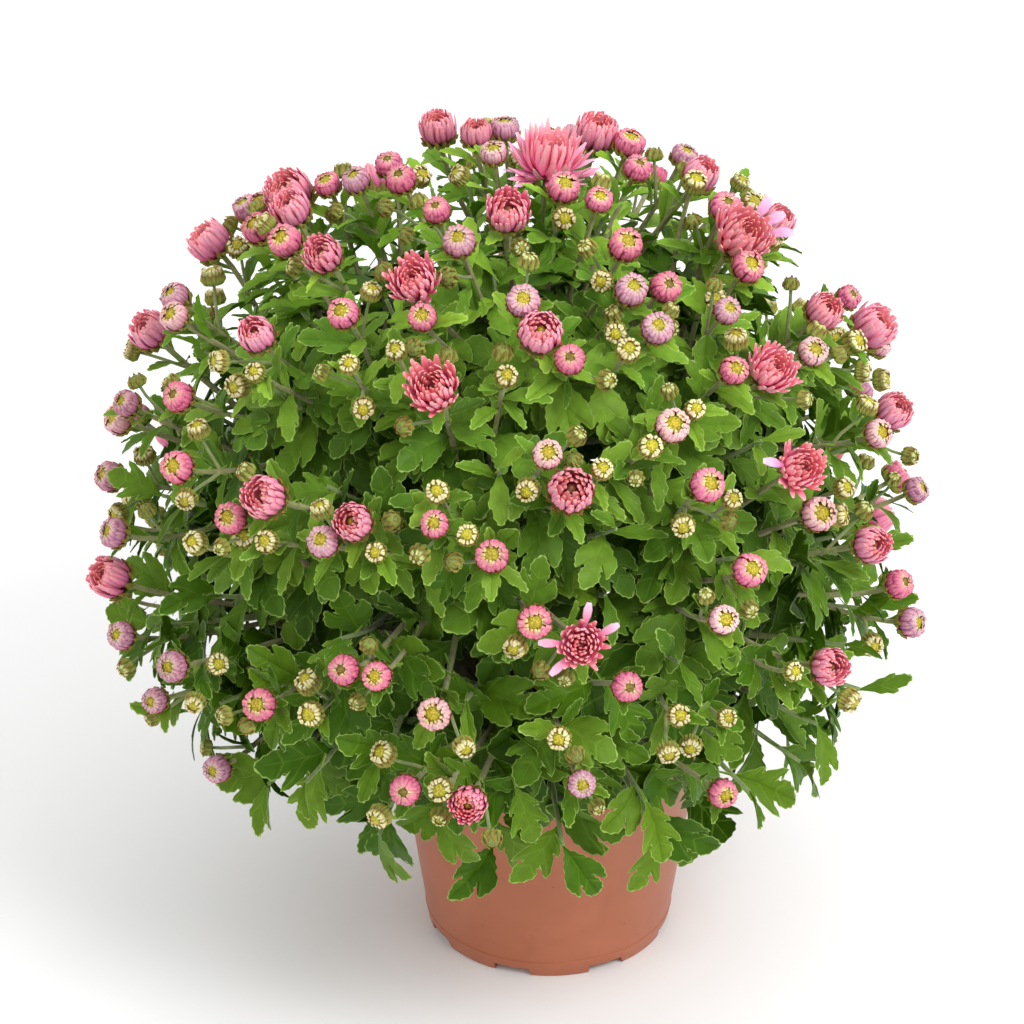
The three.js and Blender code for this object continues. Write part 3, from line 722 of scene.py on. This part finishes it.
def leaves_up(path, first, last, count, sizes, key, stem):
    """Leaves up a shoot, each a golden turn on from the last one."""
    for k in range(count):
        share = k / max(1, count - 1)
        at, along = bezier(path, first + (last - first) * share)
        size = sizes[0] + (sizes[1] - sizes[0]) * share
        low = max(0, globe_centre.z - at[0][2]) / SKIRT
        size *= (0.88 + 0.3 * draw(key + k, 31)) * (1 + 0.2 * low)
        rise = math.radians(12 + 44 * share + 16 * along[0][2] + 18 * (draw(key + k, 32) - 0.5))
        turn = math.radians(360 * draw(key, 30) + k * GOLDEN_TURN)
        for attempt in range(4):
            leaf = leaf_at(at[0], along[0], turn + (0, 0.7, -0.7, 1.6)[attempt], rise,
                           size * (1, 1, 1, 0.75)[attempt], key + k, share)
            if has_room(leaf):
                leaves[stem].append(leaf)
                break


leaves = [[] for _ in stems]
for head in heads:
    count, sizes = (9, UPPER_LENGTH) if head["aim"].z > 0.4 else (6, LEAF_LENGTH)
    leaves_up(head["path"], 0.02, 0.88, count, sizes, 2000 + 10 * head["key"], head["stem"])
    if abs(head["aim"].x) > 0.55:
        leaves_up(head["path"], 0.35, 0.8, 3, (28, 18), 20000 + 10 * head["key"], head["stem"])
for bud in side_buds:
    leaves_up(bud["path"], 0.05, 0.4, 1, (20, 20), 6000 + 10 * bud["key"], bud["stem"])
# Leafy shoots without a head fill the places between, and the skirt round the pot's rim.
# The last few are deeper in, where stems would show bare.
FILLERS = 126
FILLER_RADIUS = (2.2, 1.1)
INNER_SHOOTS = [(18, 20), (40, 12)]
for k, site in enumerate([*sites(FILLERS, 1, -0.96, 75), *INNER_SHOOTS]):
    aim = direction(*site)
    low = max(0, -aim.z)
    reach = 0.83 + 0.07 * draw(k, 33) + 0.22 * min(0.5, low) if k < FILLERS else 0.72
    tip = on_globe(aim, reach)
    stem = owner_of(tip)
    start = on_globe(aim.lerp(stems[stem]["aim"], 0.4).normalized(), 0.5)
    axis = (direction(site[0], min(85, 20 + 0.7 * site[1])) + aim).normalized()
    path = [start, tip - axis * 40, tip]
    count, sizes = (7, (46, 24)) if aim.z > 0.4 else (5, (54, 30))
    leaves_up(path, 0.3, 1, count, sizes, 12000 + 10 * k, stem)
    add_rod(stem, stalk_rod, path, FILLER_RADIUS, GREY_GREEN, YOUNG)


def leaf_material(name, edge, vein, roughness, brightness):
    """Leaf skin: its own green, mottled, with a paler midrib and side veins to its lobes, and a
    pale edge of painted rim light.
    """
    material, tree, shader = new_material(name)
    chart = node(tree, "UVMap", {"uv_map": "along and across"})
    along = node(tree, "SeparateXYZ", Vector=chart)
    across = along.node.outputs["Y"]
    row = node(tree, "Math", {"operation": "MULTIPLY"}, _0=along, _1=RIB_SCALE)
    beside = node(tree, "Math", {"operation": "PINGPONG"}, _0=row, _1=2)
    side_veins = node(tree, "MapRange", Value=beside, From_Min=0.02, From_Max=0.3, To_Min=1, To_Max=0)
    midrib = node(tree, "MapRange", Value=across, From_Min=0.02, From_Max=0.09, To_Min=1, To_Max=0)
    veins = node(tree, "Math", {"operation": "MAXIMUM"}, _0=side_veins, _1=midrib)
    mottle, shade = mottled(tree, LEAF_SPOT, 4, 0.86 * brightness, 1.14 * brightness)
    paler = node(tree, "Math", {"operation": "MULTIPLY"}, _0=veins, _1=vein)
    veined = node(tree, "Mix", {"data_type": "RGBA"}, 2, _0=paler, _6=tinted(tree, shade),
                  _7=linear("#86AE3C"))
    # Painted rim light: a pale line along the leaf's edge.
    rim_light_share = node(tree, "MapRange", Value=across, From_Min=0.95, From_Max=0.985, To_Min=0, To_Max=edge)
    rim_lit = node(tree, "Mix", {"data_type": "RGBA"}, 2, _0=rim_light_share, _6=veined, _7=linear("#AECA6C"))
    height = node(tree, "Math", {"operation": "SUBTRACT"}, _0=mottle, _1=veins)
    bump = node(tree, "Bump", Strength=0.4, Distance=0.0006, Height=height)
    feed(tree, shader, {"Base Color": rim_lit, "Normal": bump, "Roughness": roughness,
                        "Specular IOR Level": 0.12})
    return material


leaf_skins = [leaf_material("leaf upper side", 0.58, 0.18, 0.48, 1.0),
              leaf_material("downy leaf underside", 0.3, 0.5, 0.7, 1.2)]

for k, stem in enumerate(stems):
    number = f"{k + 1:02d}"
    batches = []
    for kind, pattern in enumerate(leaf_kinds):
        chosen = [leaf for leaf in leaves[k] if leaf["kind"] == kind]
        if chosen:
            tints = np.array([leaf["colour"] for leaf in chosen])
            batches.append((pattern, bent_leaves(pattern, chosen), tints))
    for batch in stem_batches[k]:
        batch[0]["first_slot"] = len(leaf_skins)
    foliage = set_out(f"leaves_and_stems_{number}", batches + stem_batches[k], leaf_skins + [stem_skin])
    placed(foliage, "foliage", f"leafy_stem_{number}")

# Flower heads.
# Each is a green calyx of scaly bracts that holds rings of petals round a yellow-green disc.
# Closed heads curl every petal in; as one opens, its outer rings lean back.


def sleeve(sides, steps):
    """A petal's sleeve: X across, Y outwards, Z along, all from nought to one."""
    petal = turned("petal", [(1000, 1000 * k / steps) for k in range(steps + 1)], sides)
    pattern = pattern_of(petal)
    pattern["points"][:, 0] /= np.abs(pattern["points"][:, 0]).max()
    pattern["chart"] = np.stack([pattern["points"][:, 2], pattern["points"][:, 0]], axis=1)
    pattern["steps"] = steps
    return pattern


flat_petal, spoon_petal, short_petal = sleeve(3, 5), sleeve(4, 5), sleeve(3, 3)
bract = sleeve(3, 3)
bract["first_slot"] = 2
BLUNT = (0.5, 0.85, 1.0, 1.0, 0.9, 0.5)  # petal widths from its base to its tip
POINTED = (0.45, 0.8, 1.0, 0.95, 0.7, 0.2)
SPOON = (0.4, 0.45, 0.6, 0.95, 1.0, 0.55)
SCALE = (0.7, 1.0, 0.9, 0.25)
STRAP = (0.7, 1.0, 1.0, 0.55)
PETAL_SPOT = 2.381  # the mottling of a petal, millimetres across
FLORET = 1.111  # an unopened floret of the disc, millimetres across


def ring_of(pattern, count, path, width, colours, key, widths=BLUNT, cup=0.3, thick=0.3, jitter=1.0,
            turn_first=None):
    """A ring of petals in head radii. Each is drawn along a curve of radius and height from
    the head's middle. The colours run from base to tip, down its ridge and down its edges,
    which are darker as painted shade between petals."""
    x, y, s = pattern["points"].T
    step = np.round(s * pattern["steps"]).astype(int)
    share = np.linspace(0, 1, pattern["steps"] + 1)
    points = np.empty((count, len(s), 3))
    for k in range(count):
        vary = [jitter * (draw(key * 97 + k, 40 + n) - 0.5) for n in range(5)]
        handles = np.array(path, float)
        handles[1:, 0] += np.array([0.03, 0.08, 0.12]) * vary[0]
        handles[1:, 1] += np.array([0.02, 0.05, 0.14]) * vary[1]
        flat = [(r, 0, z) for r, z in handles]
        centre, along = bezier(flat, share)
        half = 0.5 * width * (1 + 0.15 * vary[2]) * np.array(widths)[step]
        depth = half * (thick * y - cup * np.abs(x))
        radial = centre[step, 0] + depth * along[step, 2]
        height = centre[step, 2] - depth * along[step, 0]
        aside = half * x + 0.12 * vary[3] * s * s
        turn = 2 * np.pi * (k + 0.45 * vary[4]) / count + key
        if turn_first is not None:
            turn = math.radians(turn_first)
        points[k, :, 0] = radial * np.cos(turn) - aside * np.sin(turn)
        points[k, :, 1] = radial * np.sin(turn) + aside * np.cos(turn)
        points[k, :, 2] = height
    place = s * (len(colours[0]) - 1)
    low = np.minimum(place.astype(int), len(colours[0]) - 2)
    part = (place - low)[:, None]
    lines = (np.array([rgb(c) for c in shade]) for shade in colours)
    down_ridge, down_edges = (line[low] + (line[low + 1] - line[low]) * part for line in lines)
    # Painted shade: a petal's edges take darker colours than its ridge, as where petals overlap.
    colour = down_edges + (down_ridge - down_edges) * np.clip(y, 0, 1)[:, None]
    return pattern, points, np.broadcast_to(colour, points.shape)


def ball(segments, rings, slot):
    bpy.ops.mesh.primitive_uv_sphere_add(segments=segments, ring_count=rings, radius=1)
    pattern = pattern_of(bpy.context.object)
    pattern["first_slot"] = slot
    return pattern


disc, cup_ball, heart = ball(10, 5, 1), ball(8, 4, 2), ball(8, 4, 0)


def lump(pattern, height, radius, depth, colours):
    """A disc or a receptacle, coloured from its middle outwards."""
    points = pattern["points"] * np.array((radius, radius, depth)) + np.array((0, 0, height))
    inner, outer = (rgb(c) for c in colours)
    share = np.clip(np.hypot(pattern["points"][:, 0], pattern["points"][:, 1]), 0, 1)[:, None] ** 2
    return pattern, points[None], (inner + (outer - inner) * share)[None]


RECEPTACLE = ("#6B7A35", "#6B7A35")
CALYX_GREEN = (("#566E2C", "#76903A", "#96A248", "#9A8040"), ("#627838", "#829846", "#98984A", "#866636"))
BUD_GREEN = (("#6A8232", "#8EA040", "#9AA24A", "#84703A"), ("#748644", "#98A452", "#98944A", "#785C30"))


def calyx(count, low, high, width, key, colours=CALYX_GREEN):
    """Two rows of bracts that rise from the receptacle and hug the petals."""
    rows = []
    for row in range(2):
        tip = (high[0] + 0.03 * (1 - row), high[1] - 0.24 * (1 - row))
        path = [(0.26 + 0.06 * row, -0.88), (low[0] * 0.8, -0.86), low, tip]
        rows.append(ring_of(bract, count, path, width, colours, key + row, SCALE, 0.3, 0.35, 0.6))
    return rows


# Closed heads in full colour, in a dusky one, and still half as pale as they were as buds.
# From base to tip, down a petal's ridge and down its edges in painted shade: the outer ring, then the
# inner.
FRESH = ((("#BA3E74", "#D05082", "#DC648A", "#E67A94", "#EEA0A2"),
          ("#A83462", "#BE4472", "#CC567E", "#D66C84", "#E09092")),
         (("#C85078", "#DC6884", "#E67E8C", "#ECA092", "#EEDA92"),
          ("#B44468", "#CC5A76", "#DA6E80", "#E2908A", "#E4CA88")))
DUSKY = ((("#96527C", "#B2688C", "#C67C98", "#D294A4", "#DCB4B0"),
          ("#84446E", "#A05A80", "#B66E8C", "#C48698", "#D0A4A4")),
         (("#B45A78", "#C66E84", "#D48690", "#DAA098", "#DCC490"),
          ("#9A486A", "#B05E78", "#C27484", "#CC8E8E", "#CEB284")))
FADED = ((("#C46480", "#DA7E98", "#E698AA", "#EEB0B6", "#F2CABE"),
          ("#AC5670", "#C66E88", "#D88A9C", "#E2A2A8", "#EAB8AE")),
         (("#CA687C", "#DC8494", "#E8A0A4", "#EEBCA6", "#EED892"),
          ("#B05A6A", "#C67484", "#D89096", "#E0A89A", "#E0C886")))


def closed_pink(key, shades, mouth):
    """A head that shows its disc through rings of petals curled over its edge, which leave a
    mouth of this width. The disc is still in shadow and brownish where the mouth is narrow."""
    outer, inner = shades
    florets = ("#CCB81C", "#A0921A") if mouth > 0.85 else ("#96801E", "#66541C")
    return [
        lump(cup_ball, -0.6, 0.5, 0.32, RECEPTACLE),
        lump(heart, -0.1, 0.93, 0.6, outer[1][:2]),
        *calyx(10, (1.02, -0.72), (1.09, -0.12), 0.48, key + 1),
        ring_of(flat_petal, 21, [(0.40, -0.70), (1.16, -0.66), (1.20, 0.58), (0.66 * mouth, 0.67)], 0.36,
                outer, key + 3, cup=0.2, thick=0.2, jitter=1.1),
        ring_of(short_petal, 18, [(0.70, -0.10), (1.10, 0.20), (1.04, 0.82), (0.54 * mouth, 0.66)], 0.32,
                outer, key + 4, STRAP, cup=0.2, thick=0.24, jitter=1.6),
        ring_of(short_petal, 14, [(0.60, -0.10), (0.90, 0.20), (0.90, 0.74), (0.42 * mouth, 0.60)], 0.30,
                inner, key + 5, STRAP, cup=0.2, thick=0.24, jitter=1.3),
        lump(disc, 0.25, 0.68, 0.37, florets)]


def cream_bud(key):
    """A bud whose petals are still as pale as cream and no more than a rim round its disc."""
    cream = (("#B4AC54", "#D0C680", "#E6D49E", "#EAD4AC"), ("#A49C48", "#BCB062", "#C8B47C", "#D4BC90"))
    return [
        lump(cup_ball, -0.35, 0.84, 0.5, RECEPTACLE),
        *calyx(10, (1.22, -0.52), (0.92, 0.38), 0.50, key + 1, BUD_GREEN),
        lump(heart, -0.1, 0.92, 0.6, ("#B4A85C", "#9C9448")),
        ring_of(short_petal, 19, [(0.60, -0.20), (1.12, 0.05), (1.04, 0.76), (0.58, 0.60)], 0.34,
                cream, key + 3, STRAP, cup=0.2, thick=0.2, jitter=2.0),
        lump(disc, 0.24, 0.70, 0.40, ("#CEC01E", "#A8A422"))]


def green_bud(key, closed):
    """A bud still wrapped in its bracts, or just parting them over cream tips and its disc."""
    cream = (("#A0A84C", "#B8B868", "#DCD498"), ("#868E3E", "#A0A054", "#C0B87C"))
    body = lump(cup_ball, -0.12, 0.94, 0.74, ("#7E8C40", "#7E8C40"))
    if closed:
        scales = [(8, (1.24, -0.56), (1.02, 0.20)), (7, (1.30, -0.20), (0.70, 0.66))]
        rings = [ring for k, (count, low, high) in enumerate(scales)
                 for ring in calyx(count, low, high, 0.62, key + 3 * k, BUD_GREEN)]
        return [body, *rings, lump(disc, 0.2, 0.5, 0.42, ("#8C8C44", "#6E6A34"))]
    return [body, *calyx(8, (1.26, -0.50), (0.84, 0.54), 0.66, key + 1, BUD_GREEN),
            ring_of(short_petal, 11, [(0.50, 0.00), (0.90, 0.20), (0.86, 0.76), (0.40, 0.66)], 0.36,
                    cream, key + 3, STRAP, cup=0.2, thick=0.25, jitter=1.6),
            lump(disc, 0.2, 0.6, 0.42, ("#AEA838", "#8A8A3A"))]


# Ridge colours, then darker edge colours that are painted shade between petals, from base to tip.
CUP_SHADES = (("#CE4A8C", "#E2669E", "#F07EAA", "#FA94B2", "#FFAEBA"),
              ("#AE3672", "#C84E86", "#DE6A96", "#EE84A4", "#F8A4B0"))
PINK_SHADES = (("#E0609E", "#F27EAC", "#FC94B4", "#FFA2B9", "#FFB4C0"),
               ("#D8508A", "#E86E98", "#F484A4", "#FA96A8", "#FCB0B2"))
DEEP_SHADES = (("#E8568E", "#FA7EA2", "#FF92A8", "#FFA0AE", "#FFAEB4"),
               ("#D84C78", "#EC6C8C", "#FA8298", "#FE909C", "#FFA8A4"))
PALE_SHADES = (("#D86C9C", "#E688AE", "#F2A0BC", "#F8B8CA", "#FAD0D6"),
               ("#BC5080", "#CC6A96", "#DE86A8", "#EA9EB6", "#F2B8CA"))
LILAC_SHADES = (("#CC78A2", "#D88EB6", "#E2A4CA", "#ECBEDC", "#F4D2E8"),
                ("#B05C88", "#C274A0", "#D28EB8", "#E0AACE", "#EABEDA"))


def spoon_rows(key, rows, widths=BLUNT):
    """Rows of petals, the outermost first: how many, how broad and how unruly they are, their
    colours, and their curve."""
    return [ring_of(spoon_petal, count, path, width, colours, key + k, widths, jitter=jitter)
            for k, (count, width, jitter, colours, *path) in enumerate(rows)]


def half_open(key):
    """A cup of broad upright petals, side by side. How far its outer ones lean out differs."""
    lean = 0.15 * (draw(key, 60) - 0.45)
    florets = ("#C4AE26", "#94741E") if draw(key, 61) < 0.4 else ("#A8683C", "#7E3E34")
    rows = [
        (18, 0.36, 1.5, CUP_SHADES, (0.36, -0.70), (1.08, -0.70), (1.08 + lean, 0.20),
         (0.98 + 2.4 * lean, 0.66)),
        (18, 0.34, 1.5, CUP_SHADES, (0.30, -0.60), (0.98, -0.58), (1.04 + lean, 0.36), (0.80 + lean, 0.84)),
        (17, 0.31, 1.3, PINK_SHADES, (0.26, -0.54), (0.84, -0.50), (0.94, 0.50), (0.66, 0.86)),
        (14, 0.28, 1.3, DEEP_SHADES, (0.22, -0.48), (0.66, -0.44), (0.80, 0.50), (0.45, 0.76)),
        (11, 0.25, 1.0, DEEP_SHADES, (0.16, -0.42), (0.52, -0.36), (0.60, 0.44), (0.25, 0.62))]
    return [
        lump(cup_ball, -0.6, 0.48, 0.3, RECEPTACLE),
        *calyx(11, (1.06, -0.80), (1.10, -0.26), 0.42, key + 1),
        *spoon_rows(key + 3, rows), lump(disc, 0, 0.30, 0.38, florets)]


def open_bloom(key):
    """A full head: seven rows of petals, each row a little more upright than the one outside."""
    flare = 0.16 * draw(key, 60)
    outer = [
        (14, 0.28, 2.8, PINK_SHADES, (0.26, -0.56), (0.72, -0.62), (0.92, -0.20),
         (1.04 + flare, 0.34 - flare)),
        (16, 0.28, 2.0, PINK_SHADES, (0.25, -0.52), (0.72, -0.54), (0.94, 0.04), (0.93, 0.52)),
        (16, 0.27, 1.5, PINK_SHADES, (0.23, -0.47), (0.64, -0.46), (0.86, 0.22), (0.73, 0.64)),
        (15, 0.25, 1.2, PINK_SHADES, (0.20, -0.42), (0.54, -0.40), (0.72, 0.32), (0.55, 0.68))]
    inner = [
        (13, 0.23, 1.0, DEEP_SHADES, (0.17, -0.36), (0.43, -0.34), (0.56, 0.36), (0.38, 0.64)),
        (10, 0.20, 1.0, DEEP_SHADES, (0.13, -0.32), (0.32, -0.30), (0.40, 0.34), (0.25, 0.56)),
        (6, 0.17, 1.0, DEEP_SHADES, (0.08, -0.28), (0.20, -0.24), (0.26, 0.28), (0.14, 0.44))]
    return [
        lump(cup_ball, -0.52, 0.4, 0.22, RECEPTACLE),
        *calyx(12, (0.58, -0.66), (0.72, -0.46), 0.25, key + 1),
        *spoon_rows(key + 3, outer), *spoon_rows(key + 8, inner),
        lump(disc, -0.1, 0.2, 0.3, ("#8A3A38", "#A05048"))]


def spread_bloom(key):
    """The oldest head: its outer rows have opened flat and faded, and end in points."""
    outer = [
        (12, 0.25, 2.2, PALE_SHADES, (0.22, -0.54), (0.60, -0.60), (0.94, -0.50), (1.28, -0.34)),
        (13, 0.25, 2.2, PALE_SHADES, (0.22, -0.52), (0.62, -0.56), (0.92, -0.34), (1.18, -0.04)),
        (14, 0.24, 1.8, PALE_SHADES, (0.22, -0.50), (0.60, -0.50), (0.84, -0.14), (1.04, 0.22)),
        (15, 0.22, 1.4, PINK_SHADES, (0.20, -0.46), (0.54, -0.46), (0.74, 0.00), (0.84, 0.42)),
        (15, 0.20, 1.0, PINK_SHADES, (0.18, -0.44), (0.46, -0.42), (0.62, 0.08), (0.62, 0.48))]
    inner = [
        (14, 0.18, 1.0, PINK_SHADES, (0.16, -0.42), (0.38, -0.38), (0.50, 0.14), (0.42, 0.48)),
        (12, 0.16, 1.0, DEEP_SHADES, (0.13, -0.38), (0.30, -0.34), (0.38, 0.16), (0.27, 0.42)),
        (8, 0.14, 1.0, DEEP_SHADES, (0.08, -0.34), (0.20, -0.28), (0.24, 0.14), (0.14, 0.32))]
    return [
        lump(cup_ball, -0.52, 0.34, 0.2, RECEPTACLE),
        *calyx(12, (0.50, -0.64), (0.62, -0.48), 0.22, key + 1),
        *spoon_rows(key + 3, outer, POINTED), *spoon_rows(key + 8, inner),
        lump(disc, -0.2, 0.18, 0.3, ("#6A2A30", "#8A4040"))]


def at_head(batches, head, spin=1):
    """A head's rings in their place on the plant, spun and tinted a little."""
    key = head["key"]
    axis = head["axis"].normalized()
    side = axis.cross(Vector((0.31, 0.2, 0.9))).normalized()
    side.rotate(Matrix.Rotation(2 * math.pi * spin * draw(key, 50), 3, axis))
    turn = np.array([side, axis.cross(side), axis])
    squash = np.array([1, 1, 0.92 + 0.14 * draw(key, 51)])
    warm = 1 + np.array([0.10, 0.14, 0.20]) * (draw(key, 52) - 0.5)
    bright = 0.92 + 0.2 * draw(key, 53)
    return [(pattern, (points * squash) @ turn * head["radius"] + np.array(head["at"]),
             np.clip(colours * warm * bright, 0, 1)) for pattern, points, colours in batches]


def petal_material(name, roughness):
    """Petal skin: satin, in the colour it was drawn in, with painted shade along its edges."""
    material, tree, shader = new_material(name)
    chart = node(tree, "UVMap", {"uv_map": "along and across"})
    across = node(tree, "SeparateXYZ", give="Y", Vector=chart)
    aside = node(tree, "Math", {"operation": "ABSOLUTE"}, _0=across)
    # Painted shade: darker towards a petal's sides, where petals overlap.
    edge_shade = node(tree, "MapRange", Value=aside, From_Min=0.7, From_Max=1, To_Min=1, To_Max=0.78)
    _, shade = mottled(tree, PETAL_SPOT, 3, 0.92, 1.1)
    shaded_edges = node(tree, "Math", {"operation": "MULTIPLY"}, _0=shade, _1=edge_shade)
    feed(tree, shader, {"Base Color": tinted(tree, shaded_edges), "Roughness": roughness,
                        "Specular IOR Level": 0.2, "Subsurface Weight": 0.3, "Subsurface Scale": 0.003})
    return material


def floret_material():
    """The disc: a mass of unopened florets, each a bead about a millimetre across, with painted
    shade in the crevices between the beads.
    """
    material, tree, shader = new_material("unopened disc florets")
    place = node(tree, "TexCoord", give="Object")
    beads = node(tree, "TexVoronoi", Vector=place, Scale=1000 / FLORET)
    bump = node(tree, "Bump", {"invert": True}, Strength=0.8, Distance=0.0006, Height=beads)
    # Painted shade: each bead lighter at its middle and darker in the crevices between beads.
    shade = node(tree, "MapRange", Value=beads, From_Min=0, From_Max=0.7, To_Min=1.25, To_Max=0.5)
    feed(tree, shader, {"Base Color": tinted(tree, shade), "Normal": bump, "Roughness": 0.55})
    return material


head_skins = [petal_material("satin petal", 0.6), floret_material(), petal_material("scaly bract", 0.65)]
VARIANTS = 4
closed_kinds = {
    "pink": [closed_pink(100, FRESH, 1), closed_pink(120, DUSKY, 0.9),
             closed_pink(140, FRESH, 0.72), closed_pink(160, FADED, 1.15)],
    "cream": [cream_bud(200 + 20 * k) for k in range(VARIANTS)],
    "green": [green_bud(300 + 20 * k, k % 2 == 0) for k in range(VARIANTS)]}

for k, stem in enumerate(stems):
    number = f"{k + 1:02d}"
    batches = []
    for head in heads + side_buds:
        if head["stem"] == k and head["kind"] in closed_kinds:
            kind = closed_kinds[head["kind"]][int(VARIANTS * draw(head["key"], 54))]
            batches += at_head(kind, head)
    if batches:
        closed = set_out(f"closed_heads_{number}", batches, head_skins, 65)
        placed(closed, "petals", f"leafy_stem_{number}")

# Three of the open blooms have loosened a few pale petals: at these angles round the head.
LOOSE_PETALS = {2: (278, 228, 17, 65), 3: (5, ), 5: (195, 218, 240)}
OLDEST = 6
blooms = [head for head in heads if head["kind"] in ("open", "half")]
for k, head in enumerate(blooms):
    number = f"{k + 1:02d}"
    shape = spread_bloom if k == OLDEST else open_bloom if head["kind"] == "open" else half_open
    rings = shape(400 + 20 * k)
    loose = LOOSE_PETALS.get(k, ())
    fresh = PALE_SHADES if k == 2 else LILAC_SHADES
    for angle in loose:
        rings.append(ring_of(spoon_petal, 1, [(0.5, -0.2), (0.9, 0.2), (1.3, 0.45), (1.8, 0.3)], 0.38,
                             fresh, k + angle, SPOON, cup=0.1, thick=0.2, jitter=0.4, turn_first=angle))
    batches = at_head(rings, head, spin=0 if loose else 1)
    bloom = set_out(f"flower_head_{number}", batches, head_skins, 65)
    placed(bloom, "petals", f"bloom_{number}")

# Floor, light and camera.
# A seamless pale studio floor, a large soft key light from the upper right and a fill.

bpy.ops.mesh.primitive_plane_add(size=30, location=(0, 0, -0.0002))
floor = bpy.context.object
floor.name = "studio_floor"
paper, tree, shader = new_material("white paper sweep")
feed(tree, shader, {"Base Color": (0.9, 0.9, 0.9, 1), "Roughness": 0.9})
floor.data.materials.append(paper)

world = bpy.data.worlds.new("studio")
bpy.context.scene.world = world
world.use_nodes = True
sky = world.node_tree
upwards = node(sky, "SeparateXYZ", give="Z", Vector=node(sky, "TexCoord", give="Generated"))
strength = node(sky, "MapRange", Value=upwards, From_Min=0, From_Max=0.8, To_Min=0.62, To_Max=1.24)
feed(sky, sky.nodes["Background"], {"Color": (1, 1, 1, 1), "Strength": strength})
bpy.context.scene.view_settings.view_transform = "Standard"
PLANT_MIDDLE = Vector((0, 0, 0.25))


def softbox(name, place, size, watts):
    """A square soft light that looks at the middle of the plant."""
    bpy.ops.object.light_add(type="AREA", location=place)
    light = bpy.context.object
    light.name = name
    light.data.size = size
    light.data.energy = watts
    light.rotation_euler = (PLANT_MIDDLE - Vector(place)).to_track_quat("-Z", "Y").to_euler()


softbox("key", (1.1, -1.3, 1.9), 0.9, 33)
softbox("fill", (-1.8, -1.2, 1.0), 1.4, 2.5)

CAMERA_PLACE = (-22, -1817, 1240)
CAMERA_TILT = 28.07  # degrees below level
FOCAL_PIXELS = 3608  # the focal length, where the picture is this many pixels wide:
PICTURE_PIXELS = 1024
SENSOR = 36
bpy.ops.object.camera_add(location=Vector(CAMERA_PLACE) * MM)
camera = bpy.context.object
camera.rotation_euler.x = math.radians(90 - CAMERA_TILT)
camera.data.sensor_width = SENSOR
camera.data.lens = SENSOR * FOCAL_PIXELS / PICTURE_PIXELS
bpy.context.scene.camera = camera
